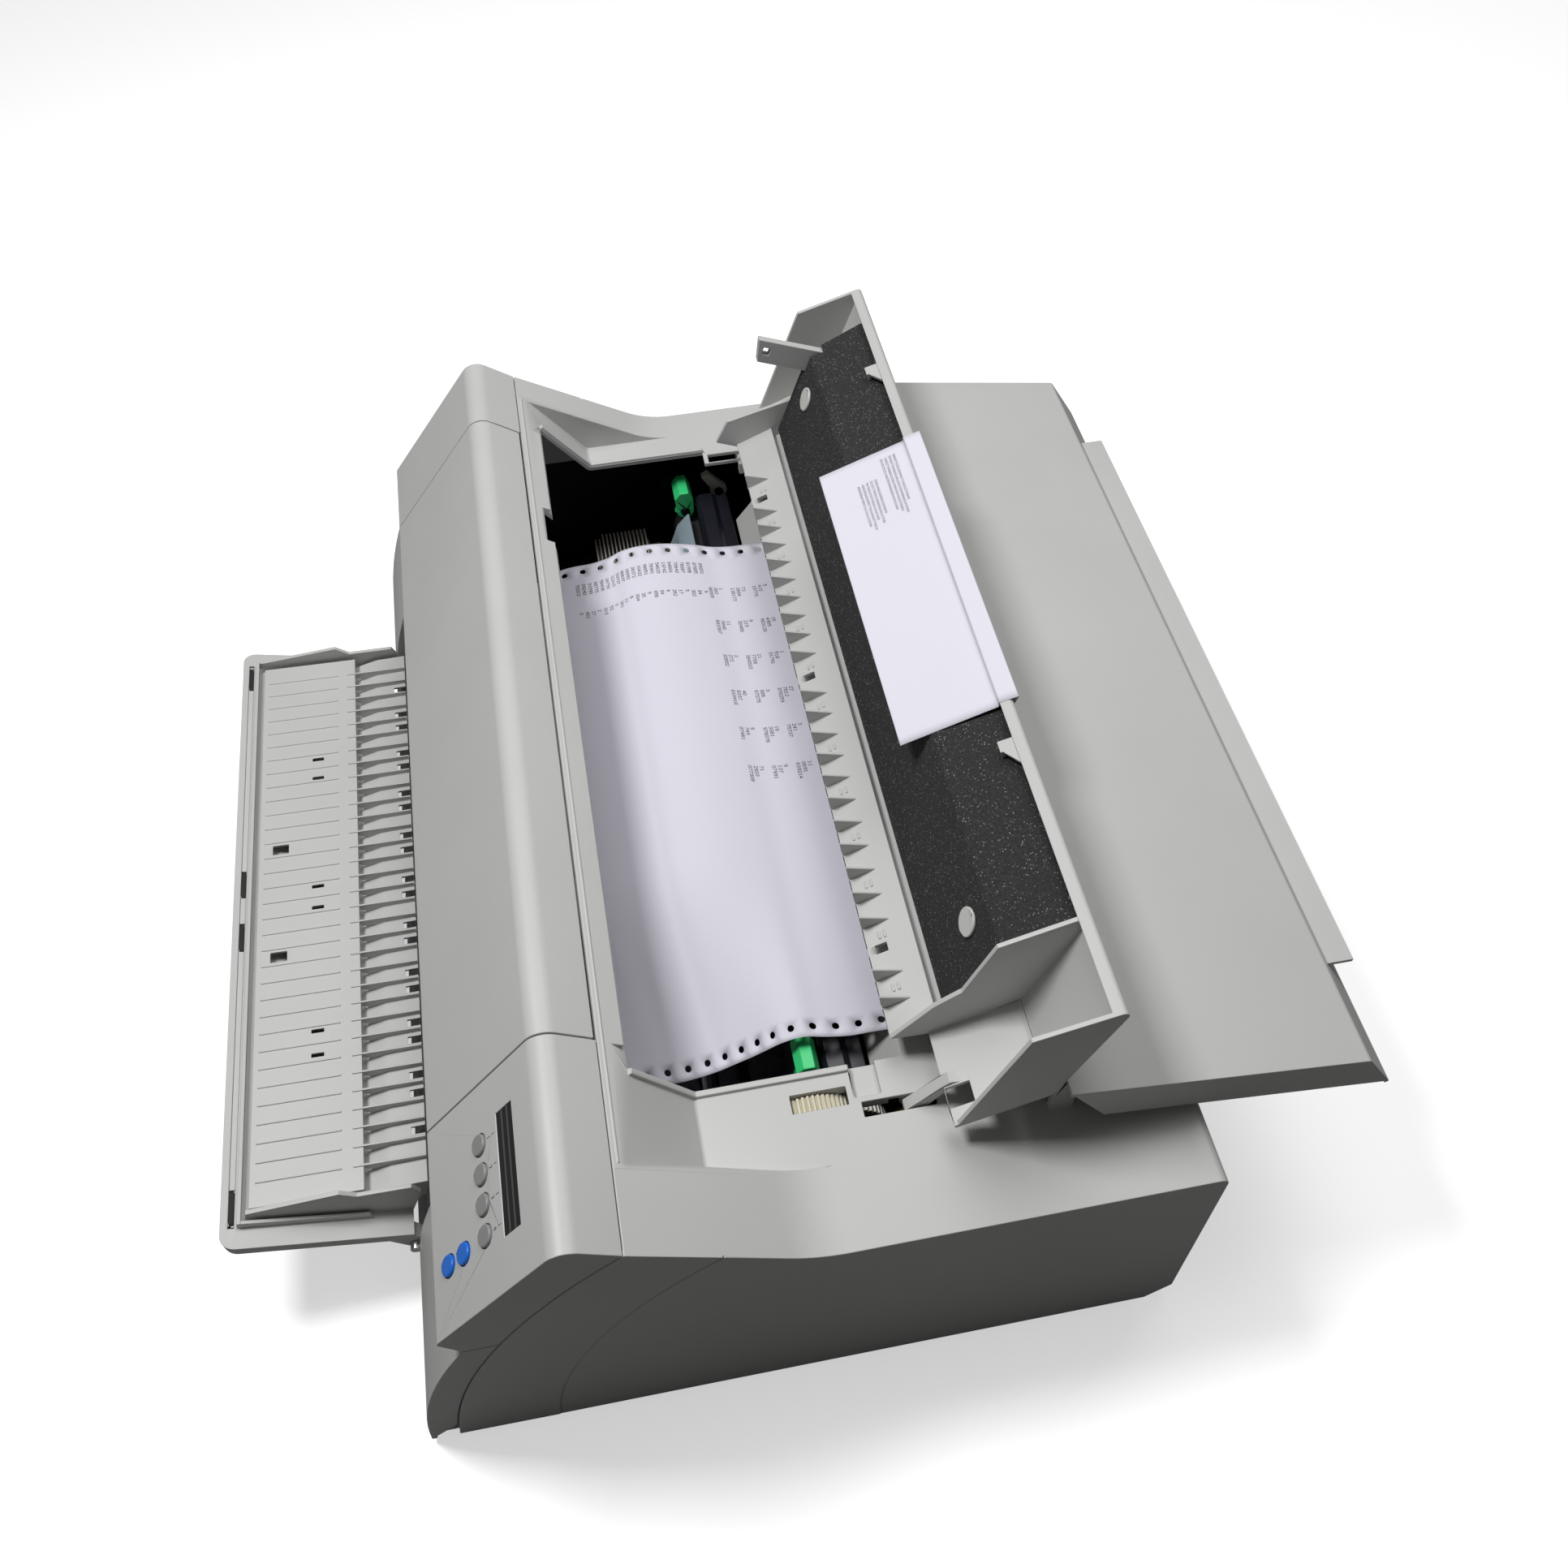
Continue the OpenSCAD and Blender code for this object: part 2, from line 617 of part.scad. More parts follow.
module swung_open() {
    translate([0, hinge_y, hinge_z]) rotate([-cover_open, 0, 0]) translate([0, -hinge_y,
            -hinge_z]) children();
}
module top_cover() {
    color(case_colour) swung_open() difference() {
        union() {
            wall_x(cover_skin, -cover_t, cover_left, cover_right);
            for (x = [cover_left, cover_right - cover_t]) plate_x(cover_side, x, x + cover_t);
            plate_x(inner_wall, comb_x1, comb_x1 + inner_wall_t);
            plate_x(left_cheek, comb_x0 - inner_wall_t, comb_x0);
            plate_x([[post_y0, post_z0], [post_y0, crown_p[1] - over], [post_y1, crown_p[1] - over],
                    [post_y1, post_z0 + 4]],
                    post_x0, post_x0 + post_w);
            for (x = arm_xs) hinge_arm(x);
            for (x = latch_xs) latch(x);
        }
        for (x = arm_xs) rod_x(hinge_pin_r + fit_gap, x - arm_w, x + arm_w, hinge_y, hinge_z);
        block(notch_x0, notch_x0 + notch_w, tip_p[0] - notch_d * 0.66, tip_p[0] + over,
                cover_edge_z - over, cover_edge_z + notch_d);
        post_window();
    }
}
module post_window() {
    side = 5;
    block(post_x0 - over, post_x0 + post_w + over, post_y0 + side, post_y0 + 2 * side, post_z0 + side,
            post_z0 + 2 * side);
}
module hinge_arm(x) {
    root = [tip_p[0] - 8, cover_edge_z + 6];
    plate_x(concat(arc([hinge_y, hinge_z], eye_r - over / 2, -90, 80, 12),
            [tip_p + [-1, 3], root, tip_p + [-6, 0]]),
            x - arm_w / 2, x + arm_w / 2);
}
// Hooked prong on the edge of the flange, with a web that braces it along the edge
module latch(x) {
    from = flange_end - slope_dir * latch_root;
    to = flange_end + slope_dir * latch_h;
    hook = [to, to + slope_in * latch_hook, to + slope_in * latch_hook - slope_dir * latch_t,
            to + (slope_in - slope_dir) * latch_t, from + slope_in * latch_t];
    plate_x(concat([from], hook), x - latch_w / 2, x - latch_w / 2 + latch_prong_w);
    translate([x - latch_w / 2, from[0], from[1]]) rotate([angle_of(slope_dir), 0, 0])
        linear_extrude(latch_t) polygon([[0, 0], [latch_w, 0], [latch_prong_w - over, latch_h],
                [0, latch_h]]);
}
// Comb that the paper runs under, fixed between the cover's inner wall and its left cheek
comb_dir = unit(comb_root - comb_edge);
comb_down = [comb_dir[1], -comb_dir[0]] * (comb_dir[0] < 0 ? -1 : 1);
fin_t = 1.2;
fin_h = 11.4;
fin_lean = 2.7;      // of the fin's tip, along the comb
fin_len = 15.7;
fin_first_x = comb_x0 + 44.4;
comb_slots = [1, 11, 23];
module cover_comb() {
    fins = floor((comb_x1 - fin_first_x - fin_t) / comb_pitch);
    slot_w = 5;
    slot_d = 11;
    color(case_colour) swung_open() difference() {
        union() {
            plate_x(comb_section, comb_x0, comb_x1);
            for (i = [0:fins]) if (len(search(i, comb_slots)) == 0)
                plate_x(fin_outline, fin_first_x + i * comb_pitch, fin_first_x + i * comb_pitch + fin_t);
        }
        for (i = comb_slots) plate_x(strip([comb_edge - comb_dir, comb_edge + comb_dir * slot_d],
                4 * comb_t),
                                     fin_first_x + i * comb_pitch - slot_w / 2,
                                             fin_first_x + i * comb_pitch + slot_w / 2);
    }
}
comb_up = -comb_down;
comb_section = [comb_edge, comb_root, comb_root + comb_up * comb_t, comb_edge + comb_up * comb_t];
fin_outline = [comb_edge + comb_down * fin_h + comb_dir * fin_lean, comb_edge + comb_up * over,
               comb_edge + comb_dir * fin_len + comb_up * over, comb_edge + comb_dir * fin_len];
foam_y0 = comb_root[0];
foam_z0 = cover_edge_z + 4.5;
slope_in = [-slope_dir[1], slope_dir[0]];
foam_depth = 5.5;
foam_top_z = crown_p[1] - cover_t - soft_gap;
foam_outline = [[foam_y0, foam_z0], cover_bend + [foam_depth, 3], flange_end + slope_in * foam_depth,
                [flange_end[0] + foam_depth - over, foam_top_z], [crown_p[0] - foam_depth, foam_top_z]];
foam_x0 = comb_x0 + soft_gap;
foam_x1 = comb_x1 - soft_gap;
foam_flare = 8;      // by which the foam widens to the left beside the flange
foam_low_a = angle_of(foam_outline[0] - foam_outline[1]);
module cover_foam() {
    flare_z = foam_outline[1][1];
    color([0.16, 0.16, 0.16]) swung_open() difference() {
        plate_x(foam_outline, foam_x0 - foam_flare, foam_x1);
        translate([foam_x0, 0, flare_z]) rotate([0, atan2(-foam_flare, foam_top_z - flare_z), 0])
            translate([-4 * foam_flare, -body_x, -body_x]) cube([4 * foam_flare, 2 * body_x, 2 * body_x]);
        block(foam_x0 - foam_flare, post_x0 + post_w + 1, post_y0 - 1, post_y1 + 1, cover_edge_z,
                crown_p[1]);
        block(foam_x0 - 2 * foam_flare, foam_x0, post_y1, tip_p[0], cover_edge_z, crown_p[1]);
    }
}
button_xs = [comb_x0 + 25.6, comb_x1 - 26.5];
button_y = -19;
foam_low = z_on(foam_outline[0], foam_outline[1], button_y);
module foam_buttons() {
    button_r = 7.5;
    button_h = 1.8;
    color([0.82, 0.82, 0.80]) swung_open() for (x = button_xs)
        translate([x, button_y, foam_low]) rotate([foam_low_a, 0, 0])
            translate([0, 0, -button_h]) cylinder(r = button_r, h = button_h - fit_gap);
}
module cover_pins() {
    color(steel_colour) for (x = arm_xs)
        rod_x(hinge_pin_r, x - arm_w / 2 - arm_slot - ear_t, x + arm_w / 2 + arm_slot + ear_t, hinge_y,
                hinge_z);
}
// Instruction sheet, blank, folded over the cover's free edge
sheet_t = 0.4;
sheet_x0 = -133.5;
sheet_x1 = 78.5;
sheet_gap = 0.3;
sheet_free = 17.5;   // that stands off past the foam's bend
module leaflet() {
    lap = 24;
    end_in = flange_end + slope_dir * (2 * sheet_gap);
    bend = foam_outline[1] - slope_in * sheet_gap;
    inside = end_in + slope_in * (cover_t + sheet_gap);
    path = [bend + unit(bend - inside) * sheet_free, inside, end_in - slope_in * sheet_gap,
            brow_p + [-2 * sheet_gap, sheet_gap], brow_p + [lap, sheet_gap]];
    color([0.93, 0.93, 0.95]) swung_open() plate_x(strip(path, -sheet_t), sheet_x0, sheet_x1);
}

// Rear panel over the paper's way out, and the extension that slides from its back edge
panel_x = panel_rear_w / 2;
panel_t = 2.5;
panel_front = [rear_pivot_y - 3.5, rear_pivot_z + 8];
panel_brow = [rear_reach - 18.4, panel_front[1] - 25];
panel_tail = [rear_reach, panel_brow[1] - 29];
panel_path = rounded([panel_front, panel_brow, panel_tail], [0, 3, 0]);
panel_side = concat(panel_path, [[back_y - 14, deck_z + 5], [panel_front[0] + 20, deck_z + 11]]);
ext_t = 2.5;
ext_z = deck_z + 6.5;
ext_x = ext_w / 2;
ext_in_y = back_y + 4;
ext_gap = 0.4;
knuckle_r = 5.5;
knuckle_w = 7;
runner_t = 2;
foot_post_y = 182;
foot_post_x = 220;
module rear_panel() {
    color(case_colour) difference() {
        union() {
            wall_x(panel_path, panel_t, -panel_x, panel_x);
            both_sides() {
                plate_x(panel_side, panel_x - panel_t, panel_x);
                rear_knuckle();
                extension_runner();
                block(foot_post_x - 4, foot_post_x + 4, foot_post_y - 4, foot_post_y + 4, deck_z + soft_gap,
                      z_on(panel_front, panel_brow, foot_post_y) - panel_t + over);
            }
        }
        block(-ext_x - ext_gap, ext_x + ext_gap, panel_brow[0] - 10, rear_reach + over, ext_z - ext_gap,
                ext_z + ext_t + ext_gap);
        both_sides() rod_x(rear_pin_r + fit_gap, rear_ear_x - knuckle_w - over, rear_ear_x, rear_pivot_y,
                rear_pivot_z);
    }
}
module rear_knuckle() {
    rod_x(knuckle_r, rear_ear_x - knuckle_w - soft_gap, rear_ear_x - soft_gap, rear_pivot_y, rear_pivot_z);
}
// Channel on each side that the extension slides in
module extension_runner() {
    y0 = back_y + 3;
    y1 = panel_brow[0] - 2;
    lip = 5;
    block(ext_x + ext_gap, ext_x + ext_gap + runner_t, y0, y1, ext_z - runner_t - ext_gap,
            z_on(panel_front, panel_brow, y1) - over);
    block(ext_x - lip, ext_x + ext_gap + runner_t, y0, y1, ext_z - runner_t - ext_gap, ext_z - ext_gap);
}
module rear_extension() {
    grip_h = 4;
    color(case_colour) {
        block(-ext_x, ext_x, ext_in_y, rear_reach, ext_z, ext_z + ext_t);
        block(-ext_x / 3, ext_x / 3, rear_reach - ext_t, rear_reach, ext_z - grip_h, ext_z + ext_t);
    }
}
module rear_pins() {
    color(steel_colour) both_sides()
        rod_x(rear_pin_r, rear_ear_x - knuckle_w, rear_ear_x + rear_ear_w, rear_pivot_y, rear_pivot_z);
}

// Front paper table: a folding flap, and the ribbed guide that snaps onto it.
// Places on it are d, hundredths of its length from the front edge, and h, the height above its top face.
flap_x = table_w / 2;
flap_t = 3;
flap_rim = 7;
flap_end = 100;
table_root = table_hinge + [1.6, 11.1];
table_step = (table_root[0] + table_reach) / cos(table_a) / flap_end;
table_tip = table_root + flap_end * table_step * [-cos(table_a), sin(table_a)];
function on_table(d, h) =
    table_tip + d * table_step * [cos(table_a), -sin(table_a)] + h * [sin(table_a), cos(table_a)];
function box_on_table(d0, d1, h0, h1) = [on_table(d0, h0), on_table(d1, h0), on_table(d1, h1),
        on_table(d0, h1)];
flap_ear_w = 8;
rim_slant = flap_rim * tan(table_a);
groove_d0 = 4;
groove_d1 = 7.4;
groove_depth = 1;
groove_x = flap_x - 11.5;
ridge_d = 8.7;
ridge_t = 2;
ridge_h = 5;
side_ridge_end = 77;
wedge_x = flap_x - 14.8;
wedge_t = 2.5;
flap_corner_r = 8;
slot_len = 20;
flap_slot_x = flap_x - 23.5;
flap_slots = [-flap_slot_x, -19.4, 19.4, flap_slot_x];
flap_outline = [on_table(0, 0), on_table(flap_end, 0), on_table(flap_end, -flap_t),
        on_table(rim_slant + flap_t, -flap_t),
                on_table(rim_slant + flap_t, -flap_rim), on_table(rim_slant, -flap_rim)];
// Side wall of the guide's seat, with a V notch in its top edge
flap_wedge = [on_table(13, -over), on_table(13, 9), on_table(60, 25.5), on_table(69.5, 21),
        on_table(97.4, 27.5),
              on_table(103, 20), on_table(flap_end, -over)];
flap_ear = concat([on_table(82, -over), on_table(82, -flap_t)],
        arc(table_hinge, flap_pin_r + 3, 250, 400, 12),
                  [on_table(flap_end, -over)]);
module front_flap() {
    color(case_colour) difference() {
        union() {
            plate_x(flap_outline, -flap_x, flap_x);
            plate_x(box_on_table(ridge_d, ridge_d + ridge_t, -over, ridge_h), -groove_x, groove_x);
            both_sides() {
                plate_x([on_table(0, 0), on_table(flap_end, 0), on_table(flap_end, -flap_rim),
                        on_table(rim_slant, -flap_rim)],
                        flap_x - flap_t, flap_x);
                plate_x(flap_wedge, wedge_x - wedge_t, wedge_x);
                plate_x([on_table(ridge_d, -over), on_table(ridge_d, ridge_h),
                        on_table(side_ridge_end, ridge_h - 1),
                         on_table(side_ridge_end + 2, -over)], groove_x - ridge_t, groove_x);
                plate_x(flap_ear, flap_x - flap_ear_w, flap_x);
            }
        }
        plate_x(box_on_table(groove_d0, groove_d1, -groove_depth, over), -groove_x, groove_x);
        for (x = flap_slots)
            plate_x(box_on_table(groove_d0, groove_d1, -flap_rim - over, over), x - slot_len / 2,
                    x + slot_len / 2);
        both_sides() flap_corner();
        both_sides() rod_x(flap_pin_r + fit_gap, flap_x - flap_ear_w - over, flap_x + over,
                table_hinge[0], table_hinge[1]);
    }
}
// What is cut away to round a front corner, seen from above
module flap_corner() {
    r = flap_corner_r;
    translate([flap_x - r, -table_reach + r,
            table_tip[1] - 2 * flap_rim]) linear_extrude(3 * flap_rim) difference() {
        translate([0, -r - over]) square([r + over, r + over]);
        circle(r = r);
    }
}
guide_x = flap_x - 19.7;
guide_t = 1.6;
guide_d0 = 14.5;
guide_slope = 0.23;
trough_d0 = 73.4;
trough_d1 = 88;
trough_depth = 8;
guide_d1 = 106.4;
inner_drop = 2.5;    // of the guide's inner part, below the tops of its ribs
rib_h = 0.8;
rib_t = 1;
rib_margin = 10;     // from the guide's side to the nearest rib
rib_count = 2 * floor((guide_x - rib_margin) / rib_pitch) + 1;
rib_d0 = 17.5;
rib_gap_d0 = 62;
rib_gap_d1 = 68;
function guide_h(d) = 5 + (d - guide_d0) * guide_slope;
guide_path = [on_table(guide_d0, guide_h(guide_d0)), on_table(trough_d0, guide_h(trough_d0)),
              on_table(trough_d0 + 1, guide_h(trough_d0) - trough_depth),
              on_table(trough_d1, guide_h(trough_d1) - inner_drop - 1),
                      on_table(guide_d1, guide_h(guide_d1) - inner_drop)];
plate_slots = [for (k = [-1, 0, 1]) for (s = [-1, 1]) k * guide_x * 0.52 + s * 7.8];
latch_holes = [-39.5, 39.5];
function bay_has_slot(i) = i > 1 && i < rib_count - 1 && i % 3 != 0;
module flap_guide() {
    slot_w = 2.5;
    latch_w = 7;
    inner_slot_w = 4.6;
    color(case_colour) difference() {
        union() {
            plate_x(strip(guide_path, guide_t), -guide_x, guide_x);
            for (i = [0:rib_count - 1]) guide_rib((i - (rib_count - 1) / 2) * rib_pitch);
            both_sides() plate_x(guide_end, guide_x - guide_t, guide_x);
        }
        for (x = plate_slots) plate_x(box_on_table(46, 53, 0, trough_depth + 12), x - slot_w / 2,
                x + slot_w / 2);
        for (x = latch_holes) plate_x(box_on_table(22.5, 32, 2, trough_depth + 4), x - latch_w / 2,
                x + latch_w / 2);
        for (i = [1:rib_count - 1]) if (bay_has_slot(i))
            plate_x(box_on_table(99, guide_d1 + over, 10, 40), bay_x(i) - inner_slot_w / 2,
                    bay_x(i) + inner_slot_w / 2);
    }
}
function bay_x(i) = (i - rib_count / 2) * rib_pitch;
module guide_rib(x) {
    top = [for (d = [rib_d0, trough_d0]) on_table(d, guide_h(d) + rib_h)];
    bar = [on_table(rib_gap_d1, guide_h(rib_gap_d1) - over), on_table(rib_gap_d1,
            guide_h(rib_gap_d1) + rib_h),
           on_table(guide_d1 - over / 2, guide_h(guide_d1) + rib_h),
                   on_table(guide_d1 - over / 2, guide_h(guide_d1) - inner_drop - over),
           on_table(trough_d1 - 1, guide_h(trough_d1) - inner_drop - 2),
                   on_table(trough_d0 + 5, guide_h(trough_d0) - trough_depth + 3),
           on_table(trough_d0 + over / 2, guide_h(trough_d0) - 3)];
    plate_x([on_table(rib_d0, guide_h(rib_d0) - over), top[0],
            on_table(rib_gap_d0, guide_h(rib_gap_d0) + rib_h),
             on_table(rib_gap_d0, guide_h(rib_gap_d0) - over)], x - rib_t / 2, x + rib_t / 2);
    plate_x(bar, x - rib_t / 2, x + rib_t / 2);
}
guide_end = concat([for (p = guide_path) p + [0, -over / 2]], [on_table(guide_d1, 8),
        on_table(flap_end, 0), on_table(guide_d0 + 2, 0),
                   on_table(guide_d0, 3)]);
module flap_pins() {
    color(steel_colour) both_sides()
        rod_x(flap_pin_r, flap_x - flap_ear_w, mouth_x + wall, table_hinge[0], table_hinge[1]);
}

// Frame plates, beams and shafts
frame_t = 2;
frame_in = 25;       // from the left side of the body to the left frame
frame_l = -body_x + frame_in;
frame_r = open_right - 4;
shaft_y = -34;
shaft_z = 40;
shaft_r = 6;
frame_outline = [[-96, pan_top], [112, pan_top], [112, 84], [62, 112], [30, 134], [8, 134], [-2, 118],
        [-40, 70], [-96, 62]];
beam_front_y = -92;
beam_back_y = 100;
beam_d = 8;
beam_front_top = 58;
lever_pivot = [17, platen_z + 27];
lever_pin_r = 3;
left_lever_x = frame_l + 18;
right_lever_x = frame_r - 21;
lever_w = 20;
gap_pivot = [44, platen_z + 24];
platen_p = [platen_y, platen_z];
platen_shaft_r = 5;
bush_r = 8;
// Gear train
gear_m = 1;
platen_teeth = 60;
wheel_teeth = 32;
pinion_teeth = 16;
wheel_dir = 108;
gear_w = 6;
gear_x0 = frame_r + frame_t + 0.8;
wheel_p = polar(platen_p, gear_m * (platen_teeth + wheel_teeth) / 2, wheel_dir);
pinion_p = platen_p + [gear_m * (platen_teeth + pinion_teeth) / 2, 0];
stud_r = 3;
motor_shaft_r = 2.5;
feed_motor_r = 19;
thumb_r = 25.5;
module left_frame() {
    color(dark_colour) difference() {
        union() {
            plate_x(frame_outline, frame_l, frame_l + frame_t);
            rod_x(lever_pin_r, frame_l + frame_t - over / 2, left_lever_x + lever_w / 2 + 1,
                    lever_pivot[0], lever_pivot[1]);
            rod_x(lever_pin_r, frame_l + frame_t - over / 2, frame_l + frame_t + 7, gap_pivot[0],
                    gap_pivot[1]);
            block(frame_l + frame_t - over / 2, idler_x + 6, -2, 4, belt_z - 8, belt_z + 8);
            rod_y(motor_shaft_r, belt_y0 - 4, over - 2, idler_x, belt_z);
        }
        rod_x(bush_r, frame_l - over, frame_l + frame_t + over, platen_y, platen_z);
        rod_x(shaft_r, frame_l - over, frame_l + frame_t + over, shaft_y, shaft_z);
    }
}
module right_frame() {
    color(dark_colour) difference() {
        union() {
            plate_x(frame_outline, frame_r, frame_r + frame_t);
            rod_x(lever_pin_r, right_lever_x - lever_w / 2 - 1, frame_r + over / 2, lever_pivot[0],
                    lever_pivot[1]);
            plate_x([[wheel_p[0] - 7, 110], [wheel_p[0] + 7, 110], wheel_p + [7, 5], wheel_p + [-7, 5]],
                    frame_r, frame_r + frame_t);
            rod_x(stud_r, frame_r + frame_t - over / 2, window_x1 - 2, wheel_p[0], wheel_p[1]);
        }
        rod_x(bush_r, frame_r - over, frame_r + frame_t + over, platen_y, platen_z);
        rod_x(shaft_r, frame_r - over, frame_r + frame_t + over, shaft_y, shaft_z);
        rod_x(2 * motor_shaft_r, frame_r - over, frame_r + frame_t + over, pinion_p[0], pinion_p[1]);
    }
}
module cross_beams() {
    color(steel_colour) {
        block(frame_l + frame_t, frame_r, beam_front_y, beam_front_y + beam_d, pan_top, beam_front_top);
        block(frame_l + frame_t, frame_r, beam_back_y, beam_back_y + beam_d, pan_top + 60, 82);
        for (x = [frame_l + 40, frame_r - 40 - beam_d])
            block(x, x + beam_d, beam_back_y, beam_back_y + beam_d, 82 - over, guide_low_z - soft_gap);
    }
}
module carriage_shaft() { color([0.80, 0.81, 0.83]) rod_x(shaft_r - fit_gap / 2, frame_l - 3,
        frame_r + frame_t + 3, shaft_y, shaft_z); }

// Carriage, parked at the left
car_w = 56;
car_x = frame_l + park_in;
bush_t = 2;
bush_len = 10;
head_y0 = -50;       // front of the cooling fins
head_y1 = -12;
fin_plate_t = 1.2;
fin_pitch = 2.7;
head_body_r = 19;
nose_y1 = platen_y - platen_r - 1.4;
module carriage() {
    bed_z = platen_z - fin_r - 3;
    body_d = 12;
    cradle_x = 24;
    cradle_d = 6;
    arm_z = 6;
    color(dark_colour) difference() {
        union() {
            block(car_x - car_w / 2, car_x + car_w / 2, shaft_y - body_d, shaft_y + body_d,
                    shaft_z - body_d, bed_z);
            block(car_x - car_w / 2, car_x + car_w / 2, shaft_y + body_d - over, head_y1 + cradle_d,
                    bed_z - body_d, bed_z);
            block(car_x - cradle_x, car_x + cradle_x, head_y1 + over, head_y1 + cradle_d, bed_z - over,
                    platen_z - arm_z);
            block(car_x - car_w / 4, car_x + car_w / 4, beam_front_y + beam_d + soft_gap,
                    shaft_y - body_d + over, bed_z - arm_z, bed_z);
            block(car_x - car_w / 4, car_x + car_w / 4, beam_front_y - 4, beam_front_y + beam_d + over,
                    beam_front_top + soft_gap,
                  beam_front_top + arm_z);
            block(car_x - arm_z, car_x + arm_z, shaft_y + body_d - over, belt_y1,
                    belt_top + belt_t + soft_gap, belt_top + belt_t + arm_z);
        }
        rod_x(shaft_r + bush_t, car_x - car_w, car_x + car_w, shaft_y, shaft_z);
        rod_y(head_body_r, head_y0, head_y1 + 2 * cradle_d, car_x, platen_z);
    }
}
module carriage_bushes() {
    color([0.70, 0.52, 0.28]) for (x = [car_x - car_w / 2, car_x + car_w / 2 - bush_len]) difference() {
        rod_x(shaft_r + bush_t, x, x + bush_len, shaft_y, shaft_z);
        rod_x(shaft_r + fit_gap / 2, x - over, x + bush_len + over, shaft_y, shaft_z);
    }
}
module print_head() {
    nose_w = 16;
    nose_h = 24;
    color([0.30, 0.30, 0.32]) {
        rod_y(head_body_r, head_y0, head_y1 + 8, car_x, platen_z);
        block(car_x - nose_w / 2, car_x + nose_w / 2, head_y1 + 8 - over, nose_y1, platen_z - nose_h / 2,
                platen_z + nose_h / 2);
    }
}
module head_fins() {
    fins = floor((head_y1 - head_y0 - fin_plate_t) / fin_pitch);
    color([0.24, 0.24, 0.26]) difference() {
        union() {
            for (i = [0:fins]) rod_y(i < 2 ? fin_r - 3 : fin_r, head_y0 + i * fin_pitch,
                    head_y0 + i * fin_pitch + fin_plate_t, car_x, platen_z);
            rod_y(head_body_r + 3, head_y0, head_y1, car_x, platen_z);
        }
        rod_y(head_body_r + fit_gap, head_y0 - over, head_y1 + over, car_x, platen_z);
    }
}
// Clear guide that holds the paper to the platen beside the print head
module ribbon_guide() {
    guide_w = 46;
    mid = 20;
    t = 1.2;
    foot_w = 3;
    y0 = head_y1 + 8 + soft_gap + t;
    seat_y = head_y1 + 6;
    path = [[y0, platen_z - 19], [y0, platen_z - 12], [platen_y - platen_r - 3, platen_z + 4],
            [platen_y - 15, platen_z + 18],
            [platen_y - 7, platen_z + 27]];
    color([0.75, 0.78, 0.80, 0.6]) difference() {
        union() {
            plate_x(strip(path, -t), car_x - guide_w / 2, car_x + guide_w / 2);
            for (s = [-1, 1]) {
                x = car_x + s * (guide_w - foot_w) / 2;
                block(x - foot_w / 2, x + foot_w / 2, seat_y, y0, platen_z - 19, platen_z - 12);
            }
        }
        block(car_x - mid / 2, car_x + mid / 2, head_y1, platen_y, platen_z - 17, platen_z + 14);
    }
}

// Ribbon cassette and the levers that release it
cassette_y0 = 25;
cassette_y1 = 48;
cassette_z0 = platen_z + platen_r + 3.5;
cassette_z1 = cassette_z0 + 13;
cassette_x0 = frame_l + frame_t + 17;
cassette_x1 = frame_r - 8;
module ribbon_cassette() {
    edge = 3;
    step_y = 37;
    tab_y = 30;
    outline = [[cassette_y0, cassette_z0], [cassette_y0, cassette_z1 - edge],
            [cassette_y0 + edge, cassette_z1], [step_y, cassette_z1],
               [step_y + edge, cassette_z1 - edge], [cassette_y1, cassette_z1 - edge],
               [cassette_y1, cassette_z0]];
    tab = 4;
    color([0.09, 0.08, 0.13]) {
        plate_x(outline, cassette_x0, cassette_x1);
        block(frame_l + frame_t + soft_gap, cassette_x0 + over, tab_y, tab_y + tab, cassette_z0,
                cassette_z0 + tab);
        block(cassette_x1 - over, frame_r - soft_gap, tab_y, tab_y + tab, cassette_z0, cassette_z0 + tab);
    }
}
module release_lever(x) {
    hub_r = 6;
    c = lever_pivot;
    grip = [c + [-6, 3], c + [-7, 12], c + [-3, 17], c + [3, 17], c + [6, 10], c + [6, 0]];
    cam = [c + [-5, -2], c + [-7, -7], c + [-4, -8], c + [1, -5]];
    color(green_colour) difference() {
        union() {
            rod_x(hub_r, x - lever_w / 2, x + lever_w / 2, c[0], c[1]);
            plate_x(grip, x - lever_w / 2, x + lever_w / 2);
            plate_x(cam, x - 2, x + 2);
        }
        rod_x(lever_pin_r + fit_gap, x - lever_w, x + lever_w, c[0], c[1]);
    }
}
module left_release_lever() { release_lever(left_lever_x); }
module right_release_lever() { release_lever(right_lever_x); }
module gap_lever() {
    c = gap_pivot;
    x = frame_l + frame_t + soft_gap;
    lever_t = 5;
    color(cream_colour) difference() {
        union() {
            rod_x(2 * lever_pin_r, x, x + lever_t, c[0], c[1]);
            plate_x([c + [-5, 2], c + [-12, 14], c + [-7, 17], c + [3, 5]], x, x + lever_t);
        }
        rod_x(lever_pin_r + fit_gap, x - over, x + lever_t + over, c[0], c[1]);
    }
}

